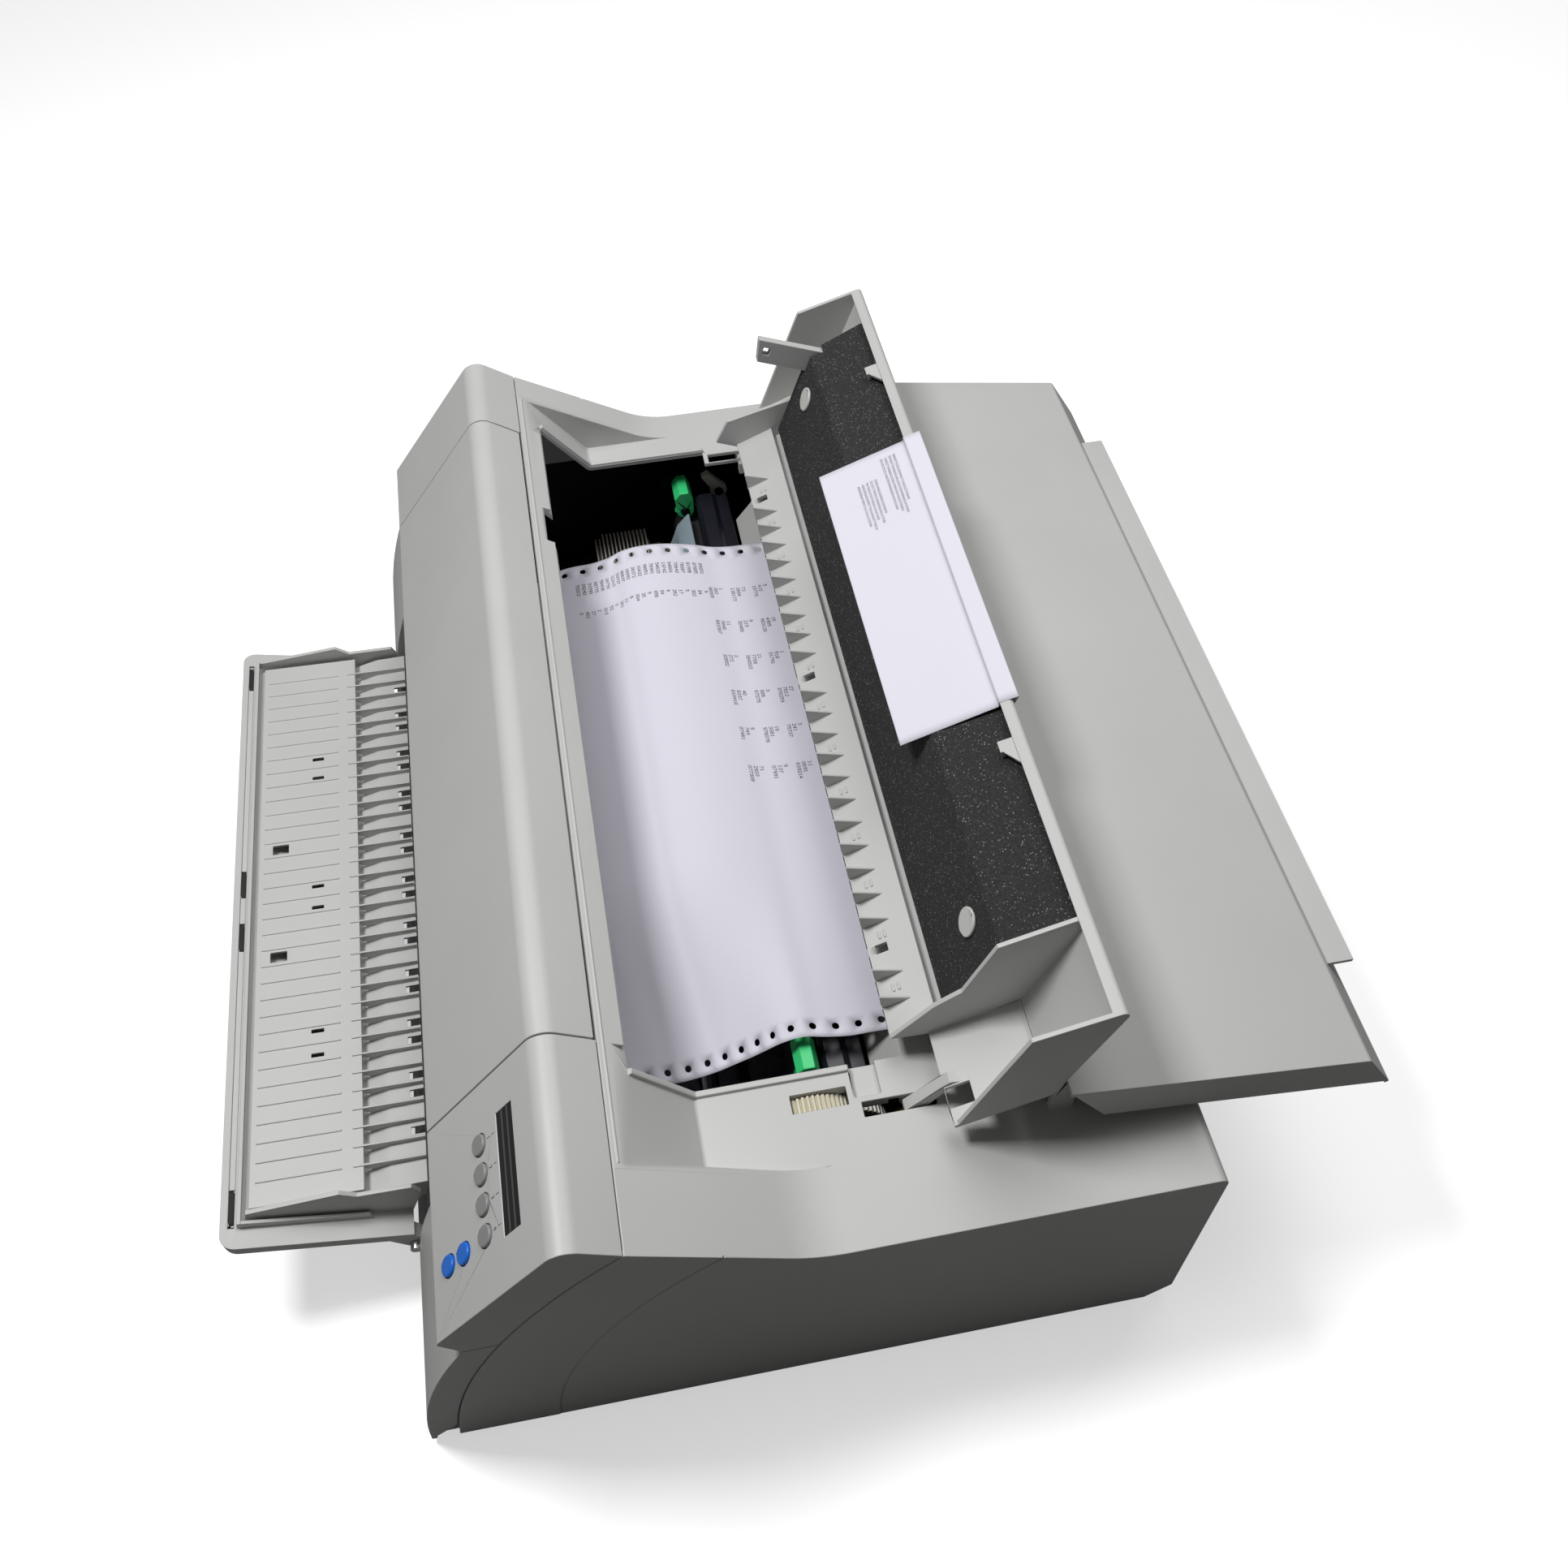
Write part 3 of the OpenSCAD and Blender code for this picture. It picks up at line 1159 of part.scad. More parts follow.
// Carriage drive
pulley_r = 7;
pulley_w = 9;
belt_t = 1.2;
belt_w = 6;
belt_y0 = -15;
belt_y1 = belt_y0 + belt_w;
belt_z = 27;
belt_top = belt_z + pulley_r + soft_gap;
idler_x = frame_l + frame_t + 12;
drive_x = frame_r - 17;
motor_r = 17;
module carriage_belt() {
    color([0.08, 0.08, 0.08]) translate([0, belt_y1, belt_z]) rotate([90, 0,
            0]) linear_extrude(belt_w) difference() {
        belt_loop(pulley_r + soft_gap + belt_t);
        belt_loop(pulley_r + soft_gap);
    }
}
module belt_loop(r) {
    translate([idler_x, 0]) circle(r = r);
    translate([drive_x, 0]) circle(r = r);
    translate([idler_x, -r]) square([drive_x - idler_x, 2 * r]);
}
module pulley(x, bore_r) {
    y0 = belt_y0 - (pulley_w - belt_w) / 2;
    flange = 1;
    spoke_r = 1.2;
    color([0.55, 0.56, 0.58]) difference() {
        union() {
            rod_y(pulley_r, y0, y0 + pulley_w, x, belt_z);
            rod_y(pulley_r + 2, y0, y0 + flange, x, belt_z);
            rod_y(pulley_r + 2, y0 + pulley_w - flange, y0 + pulley_w, x, belt_z);
        }
        rod_y(bore_r, y0 - over, y0 + pulley_w + over, x, belt_z);
        for (a = [0, 120, 240]) translate([x, 0, belt_z]) rotate([0, a, 0]) rod_y(spoke_r, y0 - over,
                y0 + pulley_w + over, 4.6, 0);
    }
}
module drive_pulley() { pulley(drive_x, motor_shaft_r + fit_gap); }
module idler_pulley() { pulley(idler_x, motor_shaft_r + fit_gap); }
module carriage_motor() {
    body_y0 = 2;
    body_y1 = 40;
    rest_z = belt_z - motor_r;
    color([0.20, 0.20, 0.22]) {
        rod_y(motor_r, body_y0, body_y1, drive_x, belt_z);
        rod_y(motor_shaft_r, belt_y0 - 4, body_y0 + over, drive_x, belt_z);
        block(drive_x - motor_r / 2, drive_x + motor_r / 2, body_y0 + 4, body_y1 - 4, pan_top, rest_z + 4);
    }
}

// Platen, its drive train and the paper feed motor
platen_x0 = frame_l + frame_t + 8;
platen_x1 = frame_r - 9;
module platen() {
    color([0.12, 0.12, 0.13]) difference() {
        rod_x(platen_r, platen_x0, platen_x1, platen_y, platen_z);
        rod_x(platen_shaft_r, platen_x0 - over, platen_x1 + over, platen_y, platen_z);
    }
}
module platen_shaft() {
    color([0.80, 0.81, 0.83]) rod_x(platen_shaft_r, frame_l - 6, gear_x0 + gear_w + 2, platen_y, platen_z);
}
module platen_bushes() {
    flange = 1.5;
    color([0.85, 0.84, 0.78]) for (f = [[frame_l, 1], [frame_r, -1]]) difference() {
        union() {
            rod_x(bush_r, f[0], f[0] + frame_t, platen_y, platen_z);
            rod_x(bush_r + 3, f[1] > 0 ? f[0] + frame_t : f[0] - flange,
                    f[1] > 0 ? f[0] + frame_t + flange : f[0], platen_y, platen_z);
        }
        rod_x(platen_shaft_r + fit_gap, f[0] - 2 * over - flange, f[0] + frame_t + 2 * over + flange,
                platen_y, platen_z);
    }
}
// Involute spur gear with its tooth 0 at angle 0; backlash is taken off each flank
gear_backlash = 0.25;
pressure_a = 20;
function involute_a(rb, r) = let (t = sqrt(pow(r / rb, 2) - 1)) t * 180 / PI - atan(t);
function gear_points(m, teeth) =
    let (r = m * teeth / 2, rb = r * cos(pressure_a), ra = r + m, rf = r - 1.25 * m, steps = 4,
         half = 90 / teeth - gear_backlash / r * 90 / PI + involute_a(rb, r), low = max(rb, rf))
    [for (i = [0:teeth - 1]) let (a = 360 * i / teeth)
        for (q = concat([polar([0, 0], rf, a - half - 0.2)],
                        [for (k = [0:steps]) let (rk = low + (ra - low) * k / steps) polar([0, 0], rk,
                        a - half + involute_a(rb, rk))],
                        [for (k = [steps:-1:0]) let (rk = low + (ra - low) * k / steps) polar([0, 0], rk,
                        a + half - involute_a(rb, rk))],
                        [polar([0, 0], rf, a + half + 0.2)])) q];
module gear(teeth, p, turn) {
    translate([gear_x0, p[0], p[1]]) rotate([90, 0, 90]) rotate([0, 0, turn])
        linear_extrude(gear_w) polygon(gear_points(gear_m, teeth));
}
module platen_gear() {
    color([0.85, 0.84, 0.78]) difference() {
        gear(platen_teeth, platen_p, 0);
        rod_x(platen_shaft_r, gear_x0 - over, gear_x0 + gear_w + over, platen_y, platen_z);
        for (a = [0:60:300]) let (p = polar(platen_p, 18, a + 30))
            rod_x(5, gear_x0 - over, gear_x0 + gear_w + over, p[0], p[1]);
    }
}
module thumbwheel() {
    notches = 60;
    side_gap = 0.7;
    x0 = window_x0 + side_gap;
    x1 = window_x1 - side_gap;
    color([0.88, 0.86, 0.80]) difference() {
        union() {
            gear(wheel_teeth, wheel_p, wheel_dir + 180 + 180 / wheel_teeth);
            rod_x(8, gear_x0, x1, wheel_p[0], wheel_p[1]);
            translate([x0, wheel_p[0], wheel_p[1]]) rotate([90, 0,
                    90]) linear_extrude(x1 - x0) polygon(knurl(thumb_r, notches));
        }
        rod_x(stud_r + fit_gap, gear_x0 - over, x1 + over, wheel_p[0], wheel_p[1]);
    }
}
function knurl(r, n) = [for (i = [0:n - 1]) for (q = [[r - 1.6, 0], [r, 2], [r, 4]]) polar([0, 0], q[0],
        (i + q[1] / 6) * 360 / n)];
module feed_motor() {
    x0 = frame_r - 32;
    color([0.20, 0.20, 0.22]) {
        rod_x(feed_motor_r, x0, frame_r - soft_gap, pinion_p[0], pinion_p[1]);
        rod_x(motor_shaft_r, frame_r - over, gear_x0 + gear_w + 2, pinion_p[0], pinion_p[1]);
    }
}
module feed_pinion() {
    color([0.72, 0.58, 0.30]) difference() {
        gear(pinion_teeth, pinion_p, 180 + 180 / pinion_teeth);
        rod_x(motor_shaft_r + fit_gap, gear_x0 - over, gear_x0 + gear_w + over, pinion_p[0], pinion_p[1]);
    }
}

// Electronics. Each chip on the board: its x range, its y range and its height above the board's foot
board_chips = [[52, 92, 18, 53, 5], [182, 206, 13, 56, 6], [242, 278, 20, 48, 5], [292, 308, 18, 53, 14]];
module logic_board() {
    z0 = pan_top + 8;
    board = [frame_l + 2, frame_l + 322, back_y - 88, back_y - 22];
    color([0.10, 0.32, 0.20]) {
        block(board[0], board[1], board[2] + 6, board[3], z0, z0 + board_t);
        for (x = [board[0] + 10, board[1] - 10]) for (y = [board[2] + 14, board[3] - 8])
            translate([x, y, pan_top]) cylinder(r = 3, h = 8.5);
        for (c = board_chips) block(board[0] + c[0], board[0] + c[1], board[2] + c[2], board[2] + c[3],
                                    z0 + board_t - over / 2, z0 + c[4]);
    }
}
module power_supply() {
    x1 = frame_r - 37;
    w = 0.15 * body_w;
    y1 = back_y - 22;
    d = 60;
    h = 54;
    color(steel_colour) block(x1 - w, x1, y1 - d, y1, pan_top, pan_top + h);
}
module power_inlet() {
    flange = 3;
    depth = 22;
    pin = [2, 6, 4];
    color(dark_colour) difference() {
        union() {
            block(inlet_x - inlet_w / 2 + connector_gap, inlet_x + inlet_w / 2 - connector_gap,
                    back_y - depth, back_y + 1,
                  inlet_z - inlet_h / 2 + connector_gap, inlet_z + inlet_h / 2 - connector_gap);
            block(inlet_x - inlet_w / 2 - flange, inlet_x + inlet_w / 2 + flange, back_y + soft_gap,
                    back_y + 1.8,
                  inlet_z - inlet_h / 2 - flange, inlet_z + inlet_h / 2 + flange);
        }
        difference() {
            block(inlet_x - 10, inlet_x + 10, back_y - 14, back_y + 3, inlet_z - 6.5, inlet_z + 6.5);
            for (q = [[-6.5, -1.5], [0, 1.5], [6.5, -1.5]])
                block(inlet_x + q[0] - pin[0] / 2, inlet_x + q[0] + pin[0] / 2, back_y - 15, back_y - 2,
                        inlet_z + q[1] - pin[2] / 2, inlet_z + q[1] + pin[2] / 2);
        }
    }
}
rocker_y = back_y - 1;
module power_switch() {
    rocker_a = 10;
    w = switch_w - 2 * connector_gap - 1;
    h = switch_h - 2 * connector_gap - 1;
    color(dark_colour) translate([switch_x - w / 2, rocker_y, inlet_z]) rotate([-rocker_a, 0, 0])
        rotate([90, 0, 90]) linear_extrude(w) polygon([[-5, -h / 2 + 1], [2, -h / 2], [1, 0], [2, h / 2],
                [-5, h / 2 - 1]]);
}
module interface_port() {
    depth = 14;
    color(steel_colour) difference() {
        block(port_x - port_w / 2 + connector_gap, port_x + port_w / 2 - connector_gap, back_y - depth,
                back_y + 4,
              port_z - port_h / 2 + connector_gap, port_z + port_h / 2 - connector_gap);
        difference() {
            block(port_x - port_w / 2 + 3, port_x + port_w / 2 - 3, back_y - 6, back_y + 5,
                    port_z - port_h / 2 + 2.5, port_z + port_h / 2 - 2.5);
            block(port_x - port_w / 2 + 7, port_x + port_w / 2 - 7, back_y - 7, back_y + 3, port_z - 2,
                    port_z + 2);
        }
    }
}

// Paper guide behind the print line, and the form that lies over it
guide_top_z = 138.5;
rear_guide_t = 1.5;
guide_low_z = guide_top_z - rear_guide_t;
rear_guide_x0 = frame_l + 40;
rear_guide_x1 = frame_r - 3;
module rear_paper_guide() {
    lip = 3;
    path = [[cassette_y1 + 3, platen_z + 24], [cassette_y1 + 18, guide_top_z],
            [back_y - wall - soft_gap, guide_top_z]];
    color(cream_colour) plate_x(strip(path, rear_guide_t), rear_guide_x0, rear_guide_x1);
}
paper_t = 0.25;
paper_x = -5.2;
hole_edge = 6.35;
// The form's run from under the hood, over the mechanism and out through the rear slot
paper_rise = [[-94, -6.5], [-80, -7.5], [-64, -7.5], [-52, -7], [-41, -4.5], [-31, -1], [-20, 2.2],
        [-10, 4.4],
              [0, 6.4], [10, 7.8], [18, 7], [26, 4.2], [34, 2.3], [42, 1.8], [52, 1.4], [66, 0.9],
              [90, 0.6],
              [196, 0.6]];
paper_path = [for (q = paper_rise) [q[0], guide_top_z + q[1]]];
function path_lengths(p, i = 0, s = 0) = i == len(p) - 1 ? [s] : concat([s],
        path_lengths(p, i + 1, s + norm(p[i + 1] - p[i])));
paper_run = path_lengths(paper_path);
paper_len = paper_run[len(paper_run) - 1];
function paper_at(s) = [lookup(s, [for (i = [0:len(paper_run) - 1]) [paper_run[i], paper_path[i][0]]]),
                        lookup(s, [for (i = [0:len(paper_run) - 1]) [paper_run[i], paper_path[i][1]]])];
module paper() {
    holes = floor(paper_len / hole_pitch - 0.5);
    color([0.93, 0.93, 0.96]) difference() {
        plate_x(strip(paper_path, -paper_t), paper_x - paper_w / 2, paper_x + paper_w / 2);
        for (i = [0:holes]) let (s = (i + 0.5) * hole_pitch, p = paper_at(s),
                d = paper_at(s + over) - paper_at(s - over))
            for (x = [paper_x - paper_w / 2 + hole_edge, paper_x + paper_w / 2 - hole_edge])
                translate([x, p[0], p[1]]) rotate([angle_of(d), 0, 0]) translate([0, 0,
                        -3]) cylinder(r = hole_d / 2, h = 6, $fn = 16);
    }
}

base_pan();
feet();
housing();
lower_front();
hood_left_cap();
hood_cover();
control_hood();
display_window();
softkey_1();
softkey_2();
softkey_3();
softkey_4();
menu_key();
online_key();
key_board();
top_cover();
cover_comb();
cover_foam();
foam_buttons();
cover_pins();
leaflet();
rear_panel();
rear_extension();
rear_pins();
front_flap();
flap_guide();
flap_pins();
left_frame();
right_frame();
cross_beams();
carriage_shaft();
carriage();
carriage_bushes();
print_head();
head_fins();
ribbon_guide();
ribbon_cassette();
left_release_lever();
right_release_lever();
gap_lever();
carriage_belt();
drive_pulley();
idler_pulley();
carriage_motor();
platen();
platen_shaft();
platen_bushes();
platen_gear();
thumbwheel();
feed_motor();
feed_pinion();
logic_board();
power_supply();
power_inlet();
power_switch();
interface_port();
rear_paper_guide();
paper();
screws();
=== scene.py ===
import json
import bmesh
import bpy
import numpy as np
from mathutils import Matrix, Vector

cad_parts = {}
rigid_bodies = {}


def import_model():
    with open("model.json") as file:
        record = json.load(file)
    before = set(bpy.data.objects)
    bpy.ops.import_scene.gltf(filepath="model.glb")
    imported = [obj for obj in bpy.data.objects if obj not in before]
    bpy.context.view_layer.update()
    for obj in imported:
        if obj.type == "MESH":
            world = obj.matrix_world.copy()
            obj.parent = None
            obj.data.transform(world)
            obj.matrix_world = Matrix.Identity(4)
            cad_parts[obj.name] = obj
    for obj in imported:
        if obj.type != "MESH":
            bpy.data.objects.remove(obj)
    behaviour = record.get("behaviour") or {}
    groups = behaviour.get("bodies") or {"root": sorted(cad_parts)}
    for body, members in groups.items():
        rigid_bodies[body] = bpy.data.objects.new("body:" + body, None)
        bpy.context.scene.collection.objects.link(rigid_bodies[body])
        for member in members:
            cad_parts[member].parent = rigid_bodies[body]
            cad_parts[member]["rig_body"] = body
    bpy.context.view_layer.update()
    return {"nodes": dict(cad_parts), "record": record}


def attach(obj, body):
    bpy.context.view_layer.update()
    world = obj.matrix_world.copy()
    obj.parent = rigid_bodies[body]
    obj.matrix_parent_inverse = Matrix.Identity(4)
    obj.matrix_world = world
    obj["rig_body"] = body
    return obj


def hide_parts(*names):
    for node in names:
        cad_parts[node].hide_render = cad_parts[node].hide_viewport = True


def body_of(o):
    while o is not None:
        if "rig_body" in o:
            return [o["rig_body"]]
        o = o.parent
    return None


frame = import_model()
solids = frame["nodes"]
mm = 0.001

# Camera. It stands to the right of the printer, looks down along its length, and is rolled so that
# the hood runs down the picture. The directions were fitted to the deck, the sides and the table. The
# focal length is given as a share of the frame's width.
picture_right = Vector((0.185158, 0.982569, -0.016587))
picture_down = Vector((0.780446, -0.157285, -0.605117))
look = Vector((-0.597178, 0.099097, -0.795964))
camera_place = Vector((543.81, -49.82, 847.87)) * mm
sensor = 36.0
focal_share = 0.949363
camera_data = bpy.data.cameras.new("camera")
camera_data.sensor_width = sensor
camera_data.lens = sensor * focal_share
camera = bpy.data.objects.new("camera", camera_data)
turn = Matrix((picture_right, -picture_down, -look)).transposed().to_4x4()
camera.matrix_world = Matrix.Translation(camera_place) @ turn
bpy.context.scene.collection.objects.link(camera)
bpy.context.scene.camera = camera
bpy.context.scene.view_settings.view_transform = "Standard"


# Studio: a pale floor, a large soft lamp overhead, a smaller one in front that lays the hood's shadow
# on the form, and a weak one from the left and behind. The right side of the case stays in shade.
def linear(hex_colour):
    """sRGB hex value to linear red, green, blue and alpha, by the sRGB curve."""
    c = np.array([int(hex_colour[i:i + 2], 16) for i in (1, 3, 5)]) / 255
    return (*np.where(c <= 0.04045, c / 12.92, ((c + 0.055) / 1.055) ** 2.4), 1.0)


def add_node(tree, kind, wires=(), **settings):
    """One node of that kind; wires maps its input sockets to values or to other nodes' outputs."""
    node = tree.nodes.new("ShaderNode" + kind)
    for key, value in settings.items():
        setattr(node, key, value)
    for key, value in dict(wires).items():
        if isinstance(value, bpy.types.NodeSocket):
            tree.links.new(value, node.inputs[key])
        else:
            node.inputs[key].default_value = value
    return node


def soft_lamp(name, place, target, side, watts):
    data = bpy.data.lights.new(name, "AREA")
    data.shape = "SQUARE"
    data.size = side
    data.energy = watts
    lamp = bpy.data.objects.new(name, data)
    lamp.location = place
    lamp.rotation_mode = "QUATERNION"
    lamp.rotation_quaternion = (Vector(target) - Vector(place)).to_track_quat("-Z", "Y")
    bpy.context.scene.collection.objects.link(lamp)


deck_middle = (0, 0, 0.15)
soft_lamp("overhead lamp", (-0.3, 0.4, 1.55), deck_middle, side=0.9, watts=9.5)
soft_lamp("front lamp", (-0.1, -0.55, 1.5), deck_middle, side=0.35, watts=14)
soft_lamp("rear lamp", (-1.5, 1.6, 1.1), (0, 0, 0.1), side=1.2, watts=3)
sky_glow, sky_seen = 0.088, 1.0
world = bpy.data.worlds.new("studio")
world.use_nodes = True
bpy.context.scene.world = world
air = world.node_tree
air.nodes.clear()
ray = add_node(air, "LightPath")
seen = add_node(air, "Math", {0: ray.outputs["Is Camera Ray"], 1: ray.outputs["Is Transmission Ray"]},
                operation="MAXIMUM")
glow = add_node(air, "Mix", {"Factor": seen.outputs[0], "A": sky_glow, "B": sky_seen})
sky = add_node(air, "Background", {"Color": linear("#FFFFFF"), "Strength": glow.outputs["Result"]})
add_node(air, "OutputWorld", {"Surface": sky.outputs[0]})

floor_half = 6.0
floor_glow = 0.55
floor_mesh = bpy.data.meshes.new("floor")
floor_corners = np.array([(-1, -1, 0), (1, -1, 0), (1, 1, 0), (-1, 1, 0)]) * floor_half
floor_mesh.from_pydata(floor_corners.tolist(), [], [(0, 1, 2, 3)])
floor = bpy.data.objects.new("floor", floor_mesh)
bpy.context.scene.collection.objects.link(floor)
paint = bpy.data.materials.new("pale floor")
paint.use_nodes = True
tree = paint.node_tree
tree.nodes.clear()
ray = add_node(tree, "LightPath")
pale = add_node(tree, "BsdfDiffuse", {"Color": linear("#F4F4F4")})
white = add_node(tree, "Emission", {"Color": linear("#FFFFFF"), "Strength": floor_glow})
shown = add_node(tree, "AddShader", {0: pale.outputs[0], 1: white.outputs[0]})
dull = add_node(tree, "BsdfDiffuse", {"Color": linear("#8A8A8A")})
ground = add_node(tree, "MixShader", {0: ray.outputs["Is Camera Ray"], 1: dull.outputs[0],
                                      2: shown.outputs[0]})
add_node(tree, "OutputMaterial", {"Surface": ground.outputs[0]})
floor_mesh.materials.append(paint)


# Case mouldings: the housing, the three-part hood and the front lower panel, injection-moulded in
# light grey ABS with a fine spark-eroded grain. They snap and screw together over the base pan.
def grained_plastic(name, hex_colour, roughness=0.46, grain_mm=0.7, grain=0.09, tint=0.05, ior=1.53):
    """Moulded plastic: a fine grain in the bump, broad faint clouds in the colour, and a gloss that
    varies a little, as handled plastic does. The grain is drawn coarser than the real 0.1 mm."""
    cloud_mm, grain_depth_mm = 70, 0.2
    made = bpy.data.materials.new(name)
    made.use_nodes = True
    tree = made.node_tree
    shader = tree.nodes["Principled BSDF"]
    place = add_node(tree, "TexCoord").outputs["Object"]
    clouds = add_node(tree, "TexNoise", {"Vector": place, "Scale": 1000 / cloud_mm, "Detail": 3.0})
    light = np.array(linear(hex_colour)[:3])
    shade = add_node(tree, "Mix", {"Factor": clouds.outputs["Fac"], "A": (*light * (1 - tint), 1),
                                   "B": (*light * (1 + tint), 1)}, data_type="RGBA")
    fine = add_node(tree, "TexNoise", {"Vector": place, "Scale": 1000 / grain_mm, "Detail": 2.0})
    gloss = add_node(tree, "MapRange", {"Value": fine.outputs["Fac"], "To Min": roughness - 0.05,
                                        "To Max": roughness + 0.06})
    bump = add_node(tree, "Bump", {"Height": fine.outputs["Fac"], "Strength": grain,
                                   "Distance": grain_depth_mm * mm})
    tree.links.new(shade.outputs["Result"], shader.inputs["Base Color"])
    tree.links.new(gloss.outputs["Result"], shader.inputs["Roughness"])
    tree.links.new(bump.outputs["Normal"], shader.inputs["Normal"])
    shader.inputs["IOR"].default_value = ior
    return made


def with_painted_inner_shade(finish, inner_x, inner_y, inner_z, hex_inner_shade="#17171A"):
    """The finish with painted shade inside: a near-black colour on all that lies between the side walls, in
    front of the back wall's outer face and below the deck's underside, standing in for the shade in there."""
    tree = finish.node_tree
    shader = tree.nodes["Principled BSDF"]
    part = add_node(tree, "SeparateXYZ", {"Vector": add_node(tree, "TexCoord").outputs["Object"]})
    across = add_node(tree, "Math", {0: part.outputs["X"]}, operation="ABSOLUTE")
    within = add_node(tree, "Math", {0: across.outputs[0], 1: inner_x * mm}, operation="LESS_THAN")
    before = add_node(tree, "Math", {0: part.outputs["Y"], 1: inner_y * mm}, operation="LESS_THAN")
    below = add_node(tree, "Math", {0: part.outputs["Z"], 1: inner_z * mm}, operation="LESS_THAN")
    walled = add_node(tree, "Math", {0: within.outputs[0], 1: before.outputs[0]}, operation="MULTIPLY")
    inside = add_node(tree, "Math", {0: walled.outputs[0], 1: below.outputs[0]}, operation="MULTIPLY")
    bare = shader.inputs["Base Color"].links[0].from_socket
    # Painted shade: everything inside the case is coloured near black, for the shade that lies there.
    shade_mix = add_node(tree, "Mix", {"Factor": inside.outputs[0], "A": bare, "B": linear(hex_inner_shade)},
                    data_type="RGBA")
    tree.links.new(shade_mix.outputs["Result"], shader.inputs["Base Color"])
    return finish


def new_piece(name, mesh, material, body, slot, *nodes):
    """A finished piece: its object, its material, the body that it rides on and the nodes it stands for."""
    piece = bpy.data.objects.new(name, mesh)
    bpy.context.scene.collection.objects.link(piece)
    mesh.materials.clear()
    mesh.materials.append(material)
    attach(piece, body)
    if nodes:
        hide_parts(*nodes)
    return piece


def surface(name, points, faces, merge=0.01 * mm, turn_outwards=True):
    """A smooth mesh from arrays of points in metres and of faces, its doubles merged."""
    mesh = bpy.data.meshes.new(name)
    mesh.from_pydata(points.reshape(-1, 3).tolist(), [], faces.tolist())
    work = bmesh.new()
    work.from_mesh(mesh)
    bmesh.ops.remove_doubles(work, verts=work.verts, dist=merge)
    if turn_outwards:
        bmesh.ops.recalc_face_normals(work, faces=work.faces)
    for face in work.faces:
        face.smooth = True
    work.to_mesh(mesh)
    work.free()
    return mesh


def moulding(node, material, edge=0.5 * mm, steps=2, sharp=np.radians(27)):
    """The node's own shape, its corners merged, every edge sharper than `sharp` rounded off to the
    radius `edge`, and the flat faces kept flat by weighting the normals with the faces' areas."""
    source = solids[node]
    corners = np.empty(len(source.data.vertices) * 3)
    source.data.vertices.foreach_get("co", corners)
    ring = np.empty(len(source.data.loops), int)
    source.data.loops.foreach_get("vertex_index", ring)
    mesh = surface(node, corners, ring.reshape(-1, 3), 0.002 * mm, turn_outwards=False)
    body = body_of(source)[0]
    piece = new_piece(node + "_moulding", mesh, material, body, slots[node], node)
    bevel = piece.modifiers.new("rounded edges", "BEVEL")
    bevel.width = edge
    bevel.segments = steps
    bevel.limit_method = "ANGLE"
    bevel.angle_limit = sharp
    bevel.use_clamp_overlap = False
    bevel.harden_normals = False
    weights = piece.modifiers.new("flat faces", "WEIGHTED_NORMAL")
    weights.mode = "FACE_AREA"
    weights.keep_sharp = True
    return piece


slots = {part["node"]: part["material_slot"] for part in frame["record"]["subparts"]}
case_abs = grained_plastic("light grey ABS", "#BEBEBC")
for node in ("lower_front", "hood_left_cap", "hood_cover", "control_hood"):
    moulding(node, case_abs)
# The housing carries painted shade: near black inside its walls and below the deck, and on a thin strip along
# the foot of the back wall.
abs_with_painted_shade = with_painted_inner_shade(grained_plastic("light grey ABS, painted shade inside", "#BEBEBC"),
                      inner_x=304.6, inner_y=198.5, inner_z=140)
moulding("housing", abs_with_painted_shade)


# Control panel on the right hood: a smoked acrylic window over a two-line display, four grey keys and
# two blue ones in round holes, and a printed number and tick from each grey key to the window.
face_a = np.radians(51.3402)
face_top = np.array([-112.5, 234.0])
key_x0, key_pitch, key_count = 231.6, 14.8, 4
window_s = 33.6


def on_face(x, s, h=0):
    """Point on the sloped face: x across, s down the slope from its top edge, h out of it, in metres."""
    x, s, h = np.broadcast_arrays(np.asarray(x, float), s, h)
    return np.stack([x, face_top[0] - s * np.cos(face_a) - h * np.sin(face_a),
                     face_top[1] - s * np.sin(face_a) + h * np.cos(face_a)], -1) * mm


def smoked_acrylic(hex_dark, hex_line, line_s=(-2.6, 2.2), line_w=0.7):
    """Smoked acrylic, cast and polished: near black and glossy, with two paler lines across it, where
    the frames of the display's rows show through. The lines run along X at fixed heights, and dust
    about a millimetre across dulls the gloss."""
    dust_per_m = 900.0
    made = bpy.data.materials.new("smoked acrylic")
    made.use_nodes = True
    tree = made.node_tree
    shader = tree.nodes["Principled BSDF"]
    place = add_node(tree, "TexCoord").outputs["Object"]
    down = add_node(tree, "VectorMath", {0: place, 1: (0, -np.cos(face_a) / mm, -np.sin(face_a) / mm)},
                    operation="DOT_PRODUCT").outputs["Value"]
    zero = face_top[0] * -np.cos(face_a) - face_top[1] * np.sin(face_a) + window_s
    lines = [add_node(tree, "Math", {0: down, 1: zero + s, 2: line_w}, operation="COMPARE").outputs[0]
             for s in line_s]
    both = add_node(tree, "Math", {0: lines[0], 1: lines[1]}, operation="MAXIMUM")
    dust = add_node(tree, "TexNoise", {"Vector": place, "Scale": dust_per_m, "Detail": 4.0})
    shade = add_node(tree, "Mix", {"Factor": both.outputs[0], "A": linear(hex_dark), "B": linear(hex_line)},
                     data_type="RGBA")
    gloss = add_node(tree, "MapRange", {"Value": dust.outputs["Fac"], "To Min": 0.06, "To Max": 0.16})
    tree.links.new(shade.outputs["Result"], shader.inputs["Base Color"])
    tree.links.new(gloss.outputs["Result"], shader.inputs["Roughness"])
    shader.inputs["IOR"].default_value = 1.49
    return made


